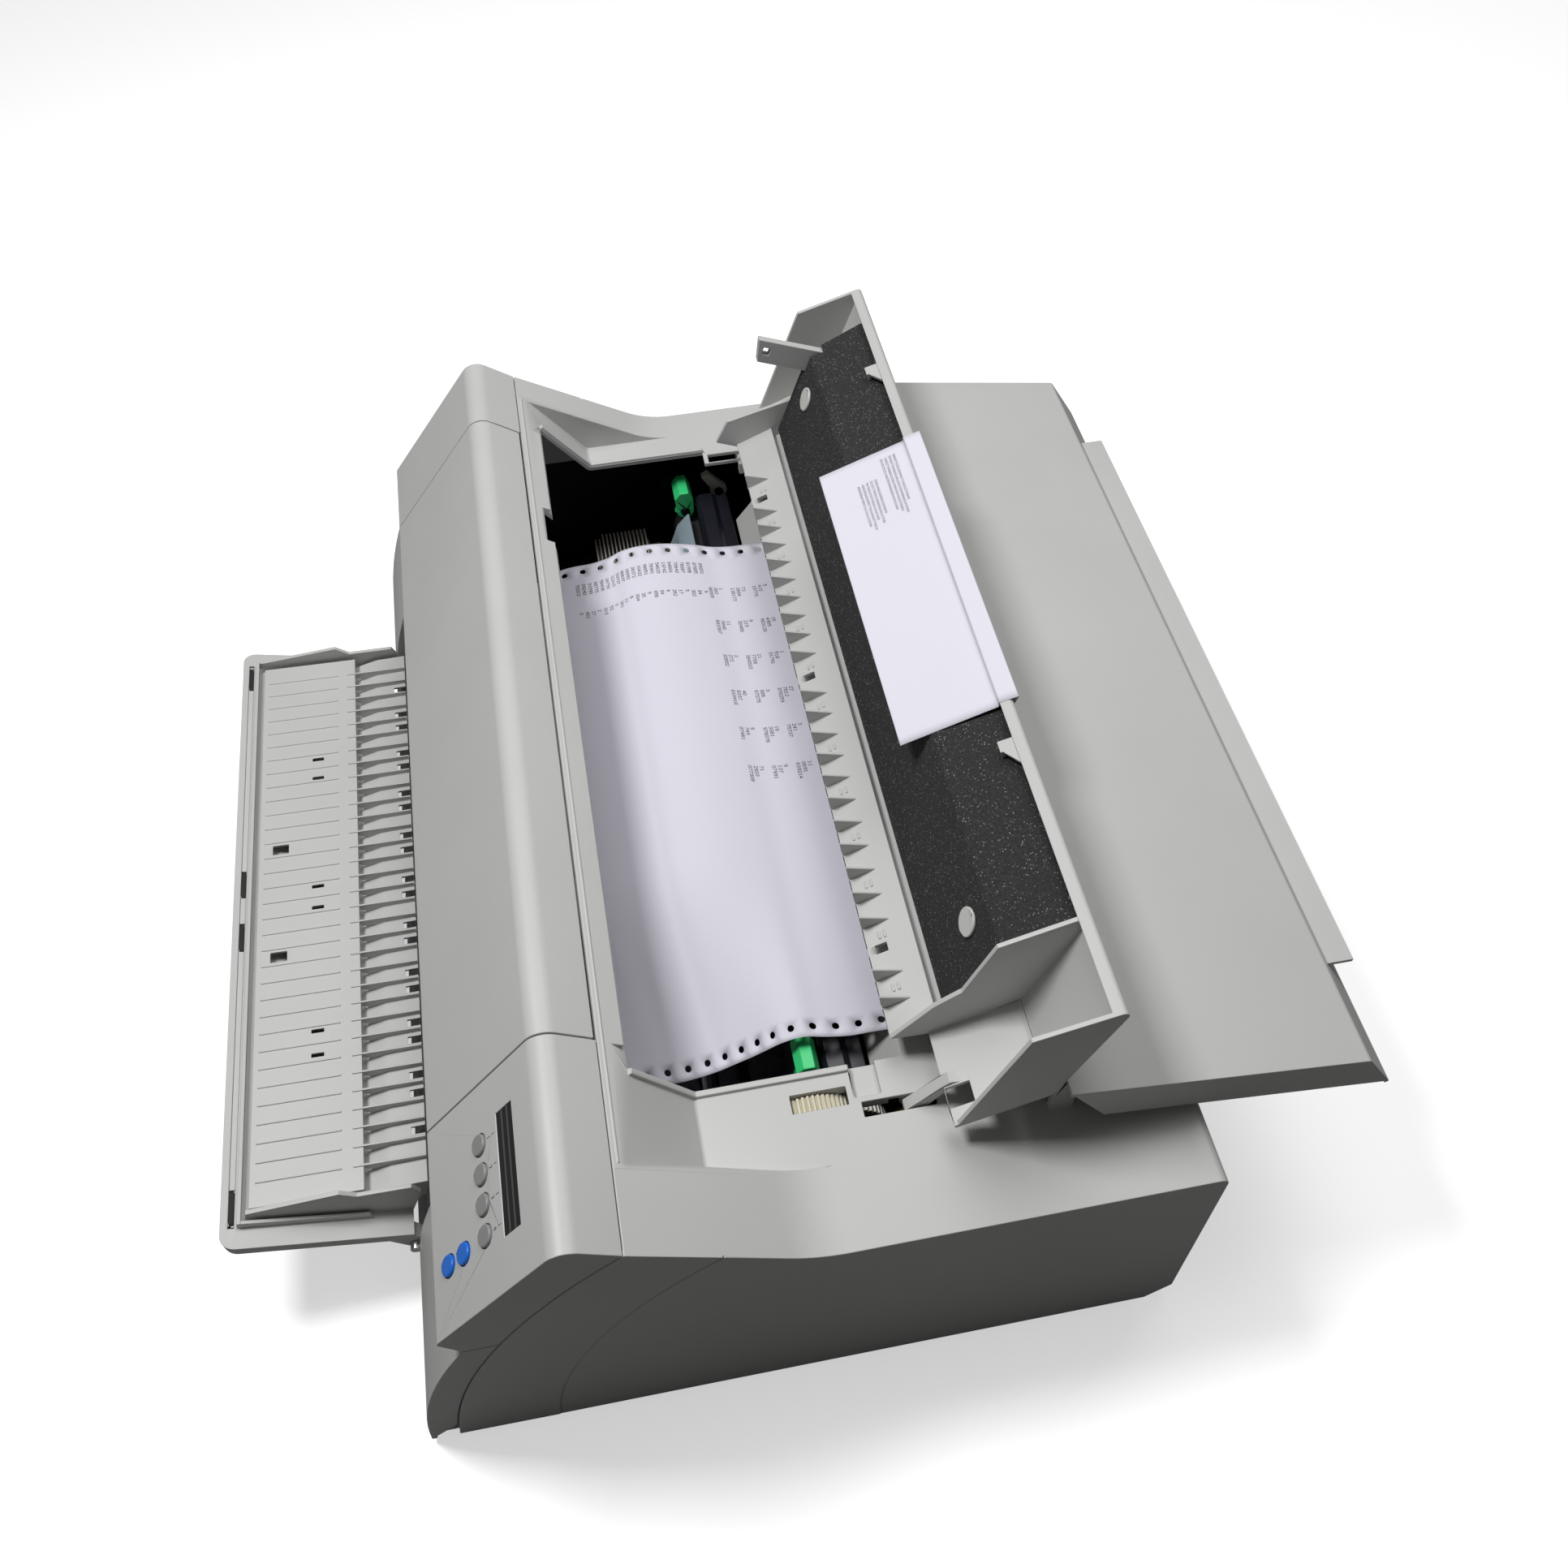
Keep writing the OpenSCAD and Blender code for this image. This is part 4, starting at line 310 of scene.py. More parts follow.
moulding("display_window", smoked_acrylic("#0C0C0E", "#4A4A4C"), edge=0.25 * mm)
grey_key = grained_plastic("grey key ABS", "#8C8C8C", roughness=0.38, grain_mm=0.5, grain=0.05)
blue_key = grained_plastic("blue key ABS", "#1A6CD2", roughness=0.34, grain_mm=0.5, grain=0.05)
for number in range(key_count):
    moulding(f"softkey_{number + 1}", grey_key, edge=0.7 * mm, steps=3)
for node in ("menu_key", "online_key"):
    moulding(node, blue_key, edge=0.7 * mm, steps=3)

panel_ink = grained_plastic("pad printed ink", "#2A2A2C", roughness=0.6, grain_mm=0.4, grain=0.03)
ink_h = 0.04
tick_s0, tick_s1, tick_w = 42.4, 45.2, 0.35
numeral_s, numeral_h = 49.4, 2.9
font_size = numeral_h * 1.35    # a numeral is about three quarters of the font's size
hood_body = body_of(solids["control_hood"])[0]
for number in range(key_count):
    x = key_x0 + number * key_pitch
    across = np.array([-0.5, 0.5, 0.5, -0.5]) * tick_w
    down = np.array([tick_s1, tick_s1, tick_s0, tick_s0])
    tick = surface("tick", on_face(x + across, down, ink_h), np.array([[0, 1, 2, 3]]), turn_outwards=False)
    new_piece(f"printed_tick_{number + 1}", tick, panel_ink, hood_body, "dark_plastic")
    letter = bpy.data.curves.new("numeral", "FONT")
    letter.body = str(number + 1)
    letter.size = font_size
    letter.align_x = "CENTER"
    drawn = bpy.data.objects.new("numeral", letter)
    numeral = bpy.data.meshes.new_from_object(drawn)
    flat = np.empty(len(numeral.vertices) * 3)
    numeral.vertices.foreach_get("co", flat)
    flat = flat.reshape(-1, 3)
    numeral.vertices.foreach_set("co", on_face(x + flat[:, 0], numeral_s - flat[:, 1], ink_h).ravel())
    bpy.data.objects.remove(drawn)
    new_piece(f"printed_numeral_{number + 1}", numeral, panel_ink, hood_body, "dark_plastic")


# Front paper table: a flap and a ribbed guide plate snapped onto it, both light grey ABS. Four black
# pads fill the slots of its front edge.
table_a = np.radians(15)
table_tip = np.array([-302.0, 84.984])
pad_xs = np.array([-191, -19.4, 19.4, 191])
pad_len, pad_w, pad_thick = 19.4, 3.0, 4.0
pad_d, pad_h = 5.7, -2.9


def on_table(x, d, h):
    """Point on the table: x across, d back from its front edge along the slope, h above its top face."""
    x, d, h = np.broadcast_arrays(np.asarray(x, float), d, h)
    return np.stack([x, table_tip[0] + d * np.cos(table_a) + h * np.sin(table_a),
                     table_tip[1] - d * np.sin(table_a) + h * np.cos(table_a)], -1) * mm


def grid_faces(rows, columns, first=0):
    """Corner numbers of the quads of a rows by columns grid of points."""
    corner = (np.arange(rows - 1)[:, None] * columns + np.arange(columns - 1)).ravel() + first
    return np.stack([corner, corner + 1, corner + columns + 1, corner + columns], 1)


def cushion_grid(rings=17, sides=32):
    """Unit bead with squared sides: latitude u and longitude v give (c(u)c(v), c(u)s(v), s(u)), where c
    and s are the cosine and sine with their size raised to about one third, which squares it off."""
    squareness = 0.34
    u = np.linspace(-np.pi / 2, np.pi / 2, rings)[:, None]
    v = np.linspace(0, 2 * np.pi, sides + 1)[None]
    squared = [np.sign(w) * np.abs(w) ** squareness for w in (np.cos(u), np.sin(u), np.cos(v), np.sin(v))]
    return np.stack(np.broadcast_arrays(squared[0] * squared[2], squared[0] * squared[3], squared[1]), -1)


for node in ("front_flap", "flap_guide"):
    moulding(node, case_abs, edge=0.3 * mm)
black_rubber = grained_plastic("moulded rubber", "#1B1B1C", roughness=0.75, grain_mm=0.6, grain=0.2, ior=1.52)
bead = cushion_grid()
for number, x in enumerate(pad_xs):
    pad = on_table(x + bead[..., 0] * pad_len / 2, pad_d + bead[..., 1] * pad_w / 2,
                   pad_h + bead[..., 2] * pad_thick / 2)
    new_piece(f"black_slot_pad_{number + 1}", surface("pad", pad, grid_faces(*bead.shape[:2])), black_rubber,
              body_of(solids["front_flap"])[0], "rubber_feet")


# Top cover: a long ABS shell with end walls, arms and latch prongs, and a comb of tear fins screwed in
# along its lower edge. Paired beads, a mould maker's index marks, stand beside every second fin.
comb_edge = np.array([43.6, 148.2])
comb_dir = np.array([-0.691571, 0.722308])
comb_up = np.array([0.722308, 0.691571])
fin_x0, fin_pitch = -203.2, 15.82
hinge = np.array([61.0, 161.0])
cover_open = np.radians(111)
cover_body = body_of(solids["top_cover"])[0]


def opened(y, z):
    """Where a point of the closed cover's section lies once it has swung back about the hinge."""
    dy, dz = y - hinge[0], z - hinge[1]
    return (hinge[0] + dy * np.cos(cover_open) + dz * np.sin(cover_open),
            hinge[1] - dy * np.sin(cover_open) + dz * np.cos(cover_open))


def on_cover(x, closed):
    """Point of the open cover in metres, from its place across and its closed section's y and z."""
    y, z = opened(closed[..., 0], closed[..., 1])
    return np.stack([x + 0 * y, y, z], -1) * mm


for node in ("top_cover", "cover_comb"):
    moulding(node, case_abs, edge=0.35 * mm)
small_bead = cushion_grid(9, 12)
mark_len, mark_w, mark_h = 4.6, 1.5, 0.8
mark_ups, mark_before_fin = (8.4, 11.4), 7.5
fin_count = 26
comb_out = -comb_up
marks = []
for fin in range(1, fin_count, 2):
    for up in mark_ups:
        middle = comb_edge + comb_dir * up
        section = (middle + small_bead[..., 1:2] * mark_w / 2 * comb_dir
                   + small_bead[..., 2:3] * mark_h * comb_out)
        mark_x = fin_x0 + fin * fin_pitch - mark_before_fin
        marks.append(on_cover(mark_x + small_bead[..., 0] * mark_len / 2, section))
shape = small_bead.shape[:2]
mark_faces = np.concatenate([grid_faces(*shape, first=number * shape[0] * shape[1])
                             for number in range(len(marks))])
new_piece("comb_index_marks", surface("marks", np.array(marks), mark_faces, 0.001 * mm), case_abs, cover_body,
          "case_plastic")


# Foam liner of the cover: dark open-cell acoustic foam, cut from sheet and held by two snap buttons.
# Its cells show as a pitted surface, and worn cell walls catch the light as pale specks.
def foam_finish(cell_mm=1.3, speck_mm=0.75, pit_mm=0.6):
    """Open-cell foam: cells of about a millimetre in the bump, and sparse pale specks where walls shine."""
    made = bpy.data.materials.new("open cell foam")
    made.use_nodes = True
    tree = made.node_tree
    shader = tree.nodes["Principled BSDF"]
    place = add_node(tree, "TexCoord").outputs["Object"]
    cells = add_node(tree, "TexVoronoi", {"Vector": place, "Scale": 1000 / cell_mm})
    specks = add_node(tree, "TexVoronoi", {"Vector": place, "Scale": 1000 / speck_mm})
    rare = add_node(tree, "SeparateColor", {"Color": specks.outputs["Color"]})
    chosen = add_node(tree, "MapRange", {"Value": rare.outputs["Red"], "From Min": 0.86,
                                         "From Max": 0.99})
    near = add_node(tree, "MapRange", {"Value": specks.outputs["Distance"], "From Min": 0.46,
                                       "From Max": 0.16})
    lit = add_node(tree, "Math", {0: chosen.outputs["Result"], 1: near.outputs["Result"]},
                   operation="MULTIPLY")
    pits = add_node(tree, "Mix", {"Factor": cells.outputs["Distance"], "A": linear("#1D1D1E"),
                                  "B": linear("#343435")}, data_type="RGBA")
    shade = add_node(tree, "Mix", {"Factor": lit.outputs[0], "A": pits.outputs["Result"],
                                   "B": linear("#B4B4B5")}, data_type="RGBA")
    bump = add_node(tree, "Bump", {"Height": cells.outputs["Distance"], "Strength": 0.7,
                                   "Distance": pit_mm * mm})
    tree.links.new(shade.outputs["Result"], shader.inputs["Base Color"])
    tree.links.new(bump.outputs["Normal"], shader.inputs["Normal"])
    shader.inputs["Roughness"].default_value = 0.95
    return made


moulding("cover_foam", foam_finish(), edge=1.2 * mm, steps=3)
snap_nylon = grained_plastic("natural nylon", "#C9C9C5", roughness=0.4, grain_mm=0.5, grain=0.05, ior=1.53)
moulding("foam_buttons", snap_nylon, edge=0.6 * mm, steps=3)


# Leaflet: a sheet of office paper laid on the foam and folded over the cover's free edge. Its text is
# left out: rows of plain dot-matrix numbers stand where such a sheet has its print.
def paper_finish(name, hex_colour):
    """Uncoated paper: matt, very slightly mottled, with a fibre bump a few tenths of a millimetre wide."""
    return grained_plastic(name, hex_colour, roughness=0.82, grain_mm=0.5, grain=0.05, tint=0.015, ior=1.5)


def smooth_step(t):
    """0 below 0, 1 above 1, and 3t^2 - 2t^3 between."""
    t = np.clip(t, 0, 1)
    return t * t * (3 - 2 * t)


def eased_path(corners, round_mm, step=0.25):
    """The straight-sided path through the corners, sampled evenly, each sample then taken as the mean of
    its neighbours within round_mm, which rounds the corners off. Its ends stay where they are."""
    legs = np.linalg.norm(np.diff(corners, axis=0), axis=1)
    reach = np.concatenate([[0], np.cumsum(legs)])
    at = np.arange(0, reach[-1], step)
    line = np.stack([np.interp(at, reach, corners[:, k]) for k in (0, 1)], 1)
    half = int(round_mm / step)
    padded = np.concatenate([2 * line[:1] - line[half:0:-1], line, 2 * line[-1:] - line[-2:-half - 2:-1]])
    total = np.cumsum(np.concatenate([np.zeros((1, 2)), padded]), axis=0)
    return at, (total[2 * half + 1:] - total[:-2 * half - 1]) / (2 * half + 1)


leaf_x0, leaf_x1 = -133.3, 78.3
leaf_thick, leaf_bend, ink_lift = 0.15, 1.0, 0.12
leaf_corners = np.array([(-26.7, 157.45), (-63.35, 198.35), (-65.8, 196.55), (-72.4, 205.45),
                         (-48.0, 205.45)])
leaf_at, leaf_line = eased_path(leaf_corners, leaf_bend)


def on_leaf(x, along, lift=0):
    """Point of the leaflet: x across, the distance along its section from the free edge, and a height
    off it towards the inside of the cover, in metres."""
    x, along = np.broadcast_arrays(np.asarray(x, float), along)
    small = 0.2
    ahead = np.stack([np.interp(along + small, leaf_at, leaf_line[:, k]) for k in (0, 1)], -1)
    here = np.stack([np.interp(along, leaf_at, leaf_line[:, k]) for k in (0, 1)], -1)
    slope = (ahead - here) / np.maximum(np.linalg.norm(ahead - here, axis=-1, keepdims=True), 1e-9)
    return on_cover(x, here + np.stack([-slope[..., 1], slope[..., 0]], -1) * lift)


def sheet_piece(name, points, material, body, slot, node, thick):
    """A sheet as a grid of points, given its thickness by Solidify."""
    mesh = surface(name, points, grid_faces(*points.shape[:2]), 0.001 * mm)
    piece = new_piece(name, mesh, material, body, slot, node)
    solid = piece.modifiers.new("paper thickness", "SOLIDIFY")
    solid.thickness = thick * mm
    solid.offset = 0
    return piece


leaf_grid = on_leaf(np.linspace(leaf_x0, leaf_x1, 40)[None], np.linspace(0, leaf_at[-1], 150)[:, None])
sheet_piece("folded_leaflet", leaf_grid, paper_finish("office paper", "#DAD8E2"), cover_body, "sheet_paper",
            "leaflet", leaf_thick)

# The digits of a nine-pin head, five dots wide and seven high
dot_digits = np.array([[[dot == "#" for dot in row] for row in digit.split()] for digit in (
    ".###. #...# #...# #...# #...# #...# .###.", "..#.. .##.. ..#.. ..#.. ..#.. ..#.. .###.",
    ".###. #...# ....# ...#. ..#.. .#... #####", ".###. #...# ....# ..##. ....# #...# .###.",
    "...#. ..##. .#.#. #..#. ##### ...#. ...#.", "##### #.... ####. ....# ....# #...# .###.",
    ".###. #.... ####. #...# #...# #...# .###.", "##### ....# ...#. ..#.. ..#.. .#... .#...",
    ".###. #...# #...# .###. #...# #...# .###.", ".###. #...# #...# .#### ....# ....# .###.")])


def printed(name, starts, digits, char_pitch, dot_pitch, placed, body):
    """One mesh of square dots: each digit of each row of digits is the set dots of its pattern, laid at
    start + column * char_pitch + dot * dot_pitch across, and rising by dot_pitch a row of dots. The
    dots overlap a little, as struck ones do."""
    dot_spread = 1.04
    last_row = dot_digits.shape[1] - 1
    middles = []
    for (across, along), text in zip(starts, digits):
        which, row, column = np.nonzero(dot_digits[[int(digit) for digit in text]])
        middles.append(np.stack([across + which * char_pitch + column * dot_pitch,
                                 along + (last_row - row) * dot_pitch], 1))
    dots = np.concatenate(middles)
    half = dot_pitch * dot_spread / 2
    square = np.array([(-half, -half), (half, -half), (half, half), (-half, half)])
    points = placed(*(dots[:, None] + square[None]).transpose(2, 0, 1))
    mesh = bpy.data.meshes.new(name)
    faces = np.arange(len(dots) * 4).reshape(-1, 4)
    mesh.from_pydata(points.reshape(-1, 3).tolist(), [], faces.tolist())
    return new_piece(name, mesh, ribbon_ink, body, "cassette_plastic")


ribbon_ink = grained_plastic("ribbon ink", "#3F3D49", roughness=0.85, grain_mm=0.4, grain=0.05, tint=0.2)
numbers = np.random.default_rng(7)
leaf_line_pitch = 2.7
# Each row: its start across, its place along the sheet and its count of digits
leaf_rows = [(-126, 46 - leaf_line_pitch * row, 30 + (row * 7) % 9) for row in range(4)]
leaf_rows += [(-112, 31 - leaf_line_pitch * row, 22 + (row * 5) % 8) for row in range(5)]
printed("leaflet_numbers", [row[:2] for row in leaf_rows],
        ["".join(map(str, numbers.integers(0, 10, row[2]))) for row in leaf_rows],
        char_pitch=1.35, dot_pitch=0.21, placed=lambda x, along: on_leaf(x, along, ink_lift), body=cover_body)


# Continuous form: thin uncoated paper with a row of feed holes down each edge. It buckles where it
# rises from under the hood, lies over the mechanism and passes under the comb to the rear slot.
def spline(at, knots, values):
    """Catmull-Rom curve through the values at the knots, as Hermite pieces with central slopes."""
    knots, values = np.asarray(knots, float), np.asarray(values, float)
    slopes = np.gradient(values, knots)
    i = np.clip(np.searchsorted(knots, at, side="right") - 1, 0, len(knots) - 2)
    span = knots[i + 1] - knots[i]
    t = (at - knots[i]) / span
    return ((1 + 2 * t) * (1 - t) ** 2 * values[i] + t * (1 - t) ** 2 * span * slopes[i]
            + t * t * (3 - 2 * t) * values[i + 1] + t * t * (t - 1) * span * slopes[i + 1])


hole_pitch = 12.7
form_left, form_right = -194.1, 183.7
# Place and height of the left edge's and the right edge's holes, front to back, in millimetres
left_run = np.array([(-93.6, 131.6), (-88, 134.4), (-79.5, 139), (-67.3, 141.7), (-55.1, 142.4),
                     (-43.4, 145.2), (-33.2, 150.2), (-21.4, 152.2), (-9.1, 151.8), (3.1, 149.6),
                     (15.5, 146.2), (27.4, 142), (39.9, 140.1), (52.1, 139.9), (64.8, 139.4),
                     (77.5, 139.2), (128.3, 139.2), (196, 139.2)])
right_run = np.array([(-82, 119.4), (-72, 120.6), (-61, 121), (-50, 120), (-39, 122), (-29, 125.3),
                      (-19.8, 130), (-11, 134.6), (-2.7, 139.9), (5.8, 145), (16.8, 147.5), (29, 143),
                      (41.5, 139.7), (53.9, 139.6), (66.6, 139.2), (79.3, 139.2), (130.1, 139.2),
                      (196, 139.2)])
# The hole that each place belongs to, counted in pitches from the first one in sight
run_at = np.array([-3, -2, -1, 0, 1, 2, 3, 4, 5, 6, 7, 8, 9, 10, 11, 12, 16, 21.33]) - 0.5
lean_from, lean_over = 60, 135
form_thick, print_lift = 0.12, 0.1


def on_form(turns, across, lift=0):
    """Point of the form at that many hole pitches along it and that far across, in metres. The two
    edges follow their own curves, and the sheet between them blends from one to the other."""
    lean = smooth_step((across - lean_from) / lean_over)
    y = spline(turns, run_at, left_run[:, 0]) * (1 - lean) + spline(turns, run_at, right_run[:, 0]) * lean
    z = spline(turns, run_at, left_run[:, 1]) * (1 - lean) + spline(turns, run_at, right_run[:, 1]) * lean
    return np.stack([across + 0 * y, y, z + lift], -1) * mm


def form_mesh(hole_d=4.0, cells=24, first_cell=-3, across_steps=72, ring=16):
    """The sheet as a grid between two columns of square cells, each with a round hole in it: a cell's
    ring runs from evenly spaced points on its sides in to the same directions on the hole's circle.
    Every cell is four rows of the grid long."""
    rows = np.arange(cells * 4 + 1) / 4 + first_cell - 0.5
    side = hole_pitch
    middle = np.linspace(form_left + side, form_right - side, across_steps)
    points = [on_form(*np.meshgrid(rows, middle, indexing="ij")).reshape(-1, 3)]
    faces = [grid_faces(len(rows), len(middle))]
    step = np.arange(ring) % 4 / 2 - 1
    quarter = np.arange(ring) // 4
    along = np.choose(quarter, [-step, -1 + 0 * step, step, 1 + 0 * step])
    up = np.choose(quarter, [1 + 0 * step, -step, -1 + 0 * step, step])
    circle = np.stack([along, up], 1) / np.hypot(along, up)[:, None]
    base = len(points[0])
    for centre in (form_left + side / 2, form_right - side / 2):
        for cell in range(cells):
            mid = rows[0] + cell + 0.5
            square = on_form(mid + up / 2, centre + along * side / 2)
            inner = on_form(mid + circle[:, 1] * hole_d / 2 / hole_pitch, centre + circle[:, 0] * hole_d / 2)
            points += [square, inner]
            k = np.arange(ring)
            after = (k + 1) % ring
            faces.append(np.stack([base + k, base + after, base + ring + after, base + ring + k], 1))
            base += 2 * ring
    mesh = surface("form", np.concatenate(points), np.concatenate(faces))
    if sum(face.normal.z for face in mesh.polygons) < 0:
        mesh.flip_normals()
    return mesh


form = new_piece("continuous_form", form_mesh(), paper_finish("uncoated paper", "#D6D4DF"), "printer_base",
                 "sheet_paper", "paper")
sheet = form.modifiers.new("paper thickness", "SOLIDIFY")
sheet.thickness = form_thick * mm
sheet.offset = -1

# A generic listing of numbers: two columns of entries beside the left holes at six lines to the inch,
# and blocks of three short lines further in. Each row is given as for the leaflet.
line_pitch, line_count, first_line = 25.4 / 6, 22, -6
block_x, block_pitch, column_along, column_pitch, block_line = -154.0, 30.5, 86.5, 15.2, 3.7
rows = [(-176.0, first_line + line * line_pitch, 5) for line in range(line_count)]
rows += [(-150.0, first_line + line * line_pitch, 1 + line * 5 % 3) for line in range(line_count)]
rows += [(block_x + block_pitch * block, column_along + column * column_pitch + line * block_line,
          5 - 2 * line + (column + block) % 2)
         for block in range(6) for column in range(4) for line in range(3)]
printed("form_numbers", [row[:2] for row in rows],
        ["".join(map(str, numbers.integers(0, 10, row[2]))) for row in rows], char_pitch=2.1, dot_pitch=0.34,
        placed=lambda x, along: on_form(along / hole_pitch, x, print_lift), body="printer_base")


# Rear panel and its pull-out plate: thin-walled ABS mouldings with the case's grain. The panel swings
# on pins in its two ears, and the plate slides in channels under it.
for node in ("rear_panel", "rear_extension", "rear_paper_guide"):
    moulding(node, case_abs, edge=0.4 * mm)


# Paper feed: the thumbwheel and its gears are unpainted acetal, cream with a waxy gloss. They drive a
# hard rubber platen on a steel shaft, and a black motor turns them through a brass pinion.
cream_acetal = grained_plastic("cream acetal", "#CFCAB4", roughness=0.36, grain_mm=0.5, grain=0.04, ior=1.48)
pale_acetal = grained_plastic("pale acetal", "#DAD8CE", roughness=0.4, grain_mm=0.5, grain=0.04, ior=1.48)
moulding("thumbwheel", cream_acetal, edge=0.18 * mm, steps=1)
moulding("gap_lever", pale_acetal, edge=0.4 * mm)
for node in ("platen_gear", "platen_bushes"):
    moulding(node, pale_acetal, edge=0.15 * mm, steps=1)
ground_rubber = grained_plastic("ground platen rubber", "#1C1C1D", roughness=0.6, grain_mm=0.4, grain=0.1,
                                ior=1.52)
moulding("platen", ground_rubber, edge=0.6 * mm)


# Print head and carriage: a die-cast head with a stack of cooling fins on a black carriage, which runs
# on sintered bushes. Its ribbon comes from a navy cassette between green release levers.
def worked_metal(name, hex_colour, roughness, streak_mm=(40, 0.5, 0.5), depth=0.05, tint=0.08):
    """Metal with the long fine streaks that rolling or grinding leaves: noise stretched along one axis
    drives the gloss, a shallow bump and a faint change of tone. Even streaks give a cast skin."""
    streak_depth_mm = 0.1
    made = bpy.data.materials.new(name)
    made.use_nodes = True
    tree = made.node_tree
    shader = tree.nodes["Principled BSDF"]
    place = add_node(tree, "TexCoord").outputs["Object"]
    drawn = add_node(tree, "Mapping", {"Vector": place, "Scale": tuple(1000 / size for size in streak_mm)})
    streaks = add_node(tree, "TexNoise", {"Vector": drawn.outputs[0], "Scale": 1.0, "Detail": 3.0})
    light = np.array(linear(hex_colour)[:3])
    shade = add_node(tree, "Mix", {"Factor": streaks.outputs["Fac"], "A": (*light * (1 - tint), 1),
                                   "B": (*light * (1 + tint), 1)}, data_type="RGBA")
    gloss = add_node(tree, "MapRange", {"Value": streaks.outputs["Fac"], "To Min": roughness - 0.06,
                                        "To Max": roughness + 0.08})
    bump = add_node(tree, "Bump", {"Height": streaks.outputs["Fac"], "Strength": depth,
                                   "Distance": streak_depth_mm * mm})
    tree.links.new(shade.outputs["Result"], shader.inputs["Base Color"])
    tree.links.new(gloss.outputs["Result"], shader.inputs["Roughness"])
    tree.links.new(bump.outputs["Normal"], shader.inputs["Normal"])
    shader.inputs["Metallic"].default_value = 1.0
    return made


cast_aluminium = worked_metal("die cast aluminium", "#6B6761", 0.5, (1.2, 1.2, 1.2), 0.2)
moulding("print_head", cast_aluminium, edge=0.4 * mm)
moulding("head_fins", cast_aluminium, edge=0.12 * mm, steps=1)
black_abs = grained_plastic("black glass filled nylon", "#1A1A1D", roughness=0.5, grain_mm=0.6, grain=0.15)
moulding("carriage", black_abs, edge=0.4 * mm)
navy_styrene = grained_plastic("navy polystyrene", "#14131F", roughness=0.34, grain_mm=0.8, grain=0.05,
                               ior=1.59)
moulding("ribbon_cassette", navy_styrene, edge=0.5 * mm)
green_acetal = grained_plastic("green acetal", "#3AD07C", roughness=0.33, grain_mm=0.5, grain=0.04, ior=1.48)
for node in ("left_release_lever", "right_release_lever"):
    moulding(node, green_acetal, edge=0.8 * mm, steps=3)
clear_sheet = grained_plastic("clear polycarbonate", "#B9CBD6", roughness=0.18, grain_mm=1.5, grain=0.01,
                              ior=1.58)
clear_sheet.node_tree.nodes["Principled BSDF"].inputs["Transmission Weight"].default_value = 0.45
moulding("ribbon_guide", clear_sheet, edge=0.15 * mm, steps=1)


# Frame, shafts and drive: zinc-plated pressings and blackened side plates, ground steel shafts, bronze
# bushes, aluminium pulleys and a toothed rubber belt.
def zinc_plate(name, hex_colour, spangle_mm=9):
    """Passivated zinc on steel: crystals about a centimetre across, each a slightly different grey."""
    made = worked_metal(name, hex_colour, 0.36, (0.8, 0.8, 0.8), 0.05, 0.04)
    tree = made.node_tree
    shader = tree.nodes["Principled BSDF"]
    place = add_node(tree, "TexCoord").outputs["Object"]
    crystals = add_node(tree, "TexVoronoi", {"Vector": place, "Scale": 1000 / spangle_mm})
    tone = add_node(tree, "SeparateColor", {"Color": crystals.outputs["Color"]})
    light = np.array(linear(hex_colour)[:3])
    shade = add_node(tree, "Mix", {"Factor": tone.outputs["Red"], "A": (*light * 0.86, 1),
                                   "B": (*light * 1.1, 1)}, data_type="RGBA")
    tree.links.new(shade.outputs["Result"], shader.inputs["Base Color"])
    return made


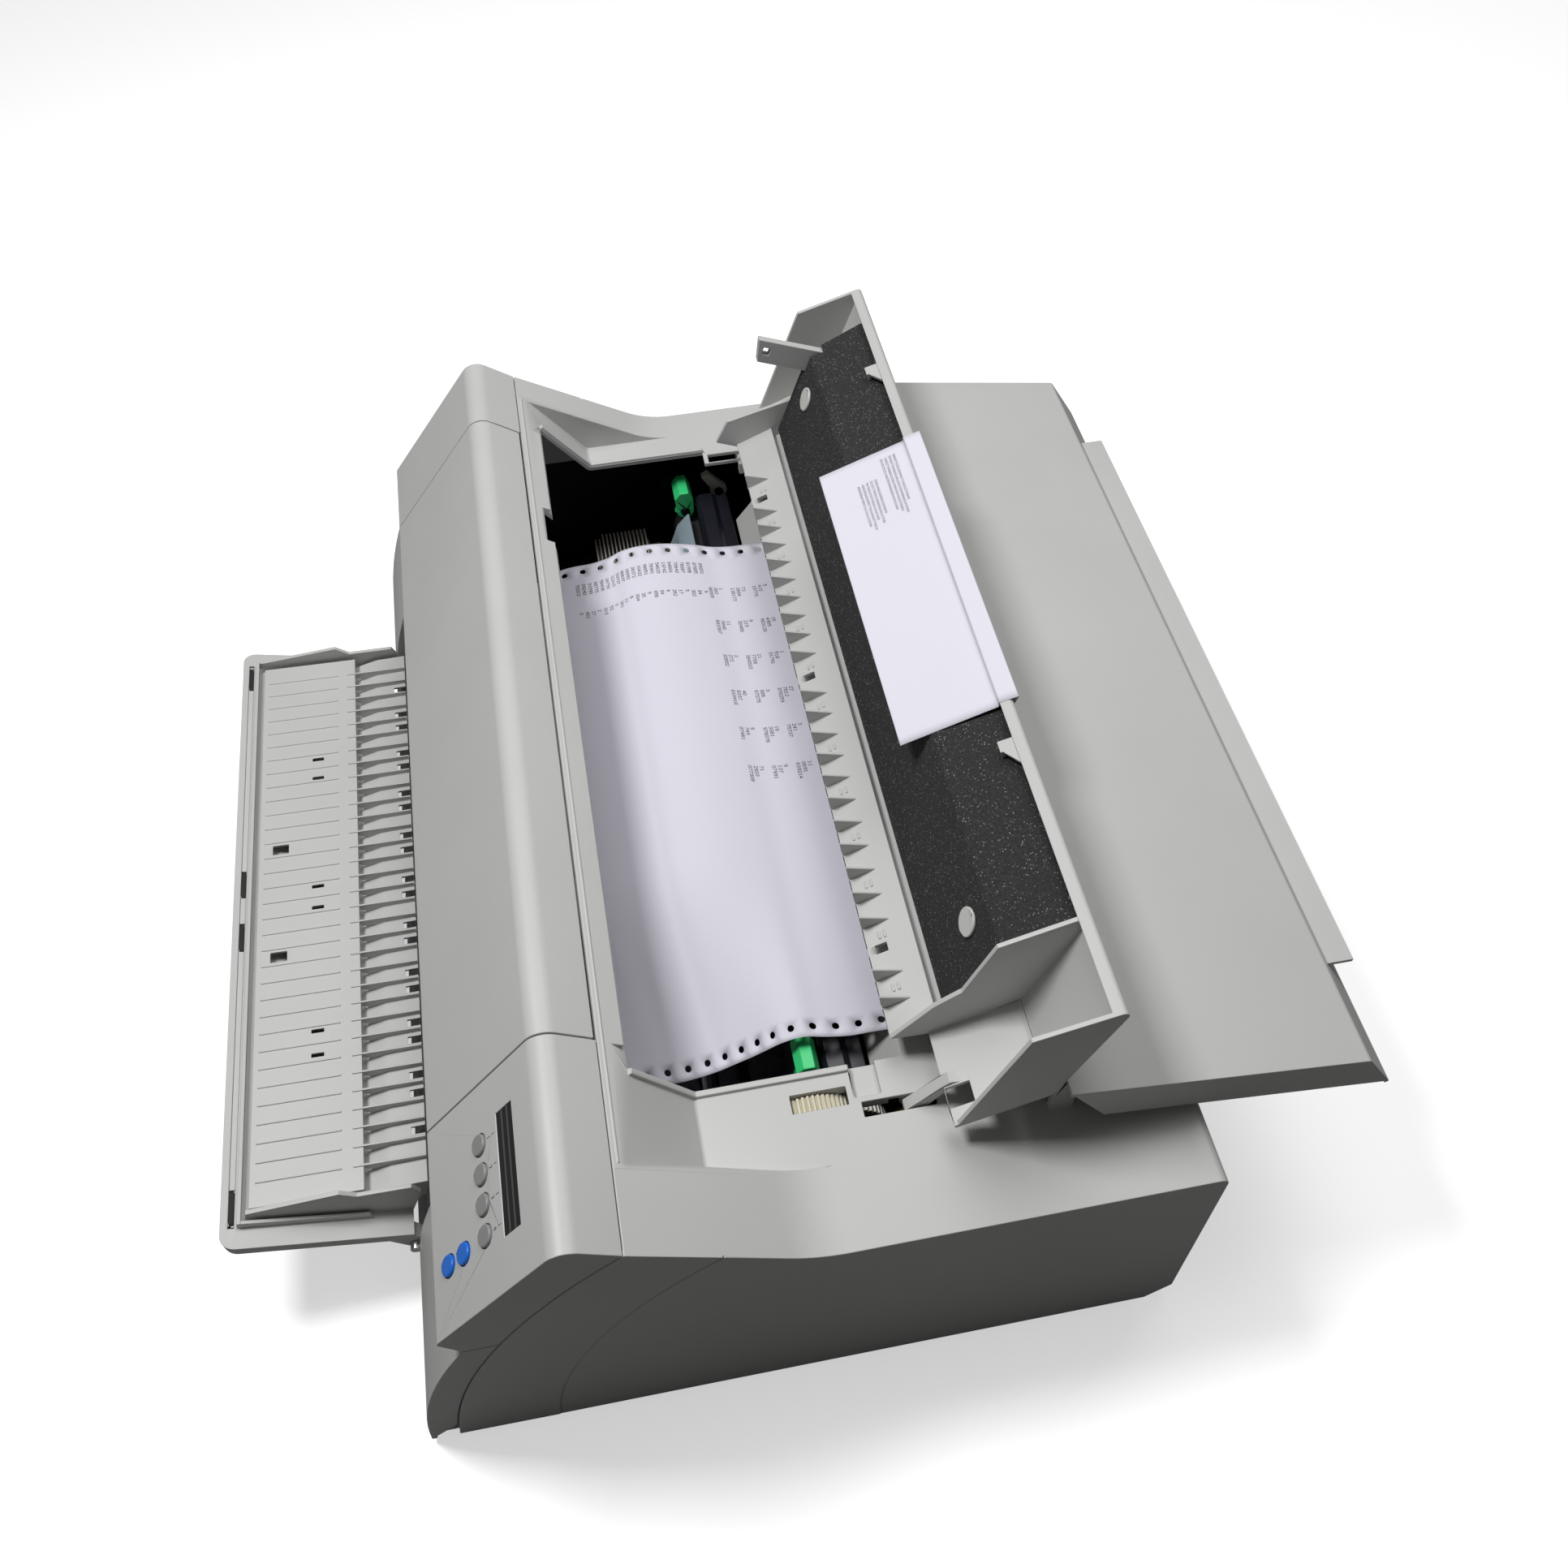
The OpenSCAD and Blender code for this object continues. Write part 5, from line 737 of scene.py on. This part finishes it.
plated_steel = zinc_plate("zinc plated steel", "#A6A8AC")
ground_steel = worked_metal("ground steel", "#C6C8CB", 0.2, (0.4, 30, 30))
finishes = {
    plated_steel: ("base_pan", "cross_beams", "power_supply", "interface_port", "screws"),
    ground_steel: ("cover_pins", "rear_pins", "flap_pins", "carriage_shaft", "platen_shaft"),
    worked_metal("blackened steel", "#26262A", 0.45, (30, 0.6, 0.6)): (
        "left_frame", "right_frame", "carriage_motor", "feed_motor"),
    worked_metal("sintered bronze", "#A9824A", 0.45, (0.6, 0.6, 0.6), 0.25): ("carriage_bushes",),
    worked_metal("turned aluminium", "#96989C", 0.32, (30, 0.4, 0.4)): ("drive_pulley", "idler_pulley"),
    worked_metal("brass", "#B9954E", 0.28, (30, 0.4, 0.4)): ("feed_pinion",),
    grained_plastic("neoprene belt", "#171718", roughness=0.7, grain_mm=0.5, grain=0.2, ior=1.52): (
        "carriage_belt",),
    black_rubber: ("feet",),
    black_abs: ("power_inlet", "power_switch"),
}
for material, nodes in finishes.items():
    for node in nodes:
        moulding(node, material, edge=0.2 * mm, steps=1)


# Circuit boards: green solder mask over copper tracks on glass-epoxy laminate. The tracks run square
# to each other and show as paler green lines.
def solder_mask(name, hex_mask, hex_track, track_mm=2.4):
    """Bricks of a few millimetres give square tracks: the mortar between them is the track's colour.
    A noise of a few centimetres lets the tracks fade out in places."""
    patches_per_m, track_depth_mm = 60.0, 0.05
    made = bpy.data.materials.new(name)
    made.use_nodes = True
    tree = made.node_tree
    shader = tree.nodes["Principled BSDF"]
    place = add_node(tree, "TexCoord").outputs["Object"]
    patches = add_node(tree, "TexNoise", {"Vector": place, "Scale": patches_per_m, "Detail": 0.0})
    mask = linear(hex_mask)
    tracks = add_node(tree, "TexBrick", {"Vector": place, "Color1": mask, "Color2": mask,
                                         "Mortar": linear(hex_track), "Scale": 1000 / track_mm / 4,
                                         "Mortar Size": 0.05})
    shade = add_node(tree, "Mix", {"Factor": patches.outputs["Fac"], "A": tracks.outputs["Color"], "B": mask},
                     data_type="RGBA")
    bump = add_node(tree, "Bump", {"Height": tracks.outputs["Fac"], "Strength": 0.3,
                                   "Distance": track_depth_mm * mm})
    tree.links.new(shade.outputs["Result"], shader.inputs["Base Color"])
    tree.links.new(bump.outputs["Normal"], shader.inputs["Normal"])
    shader.inputs["Roughness"].default_value = 0.3
    shader.inputs["IOR"].default_value = 1.55
    return made


board_mask = solder_mask("solder mask", "#17492B", "#3C8A50")
for node in ("key_board", "logic_board"):
    moulding(node, board_mask, edge=0.15 * mm, steps=1)
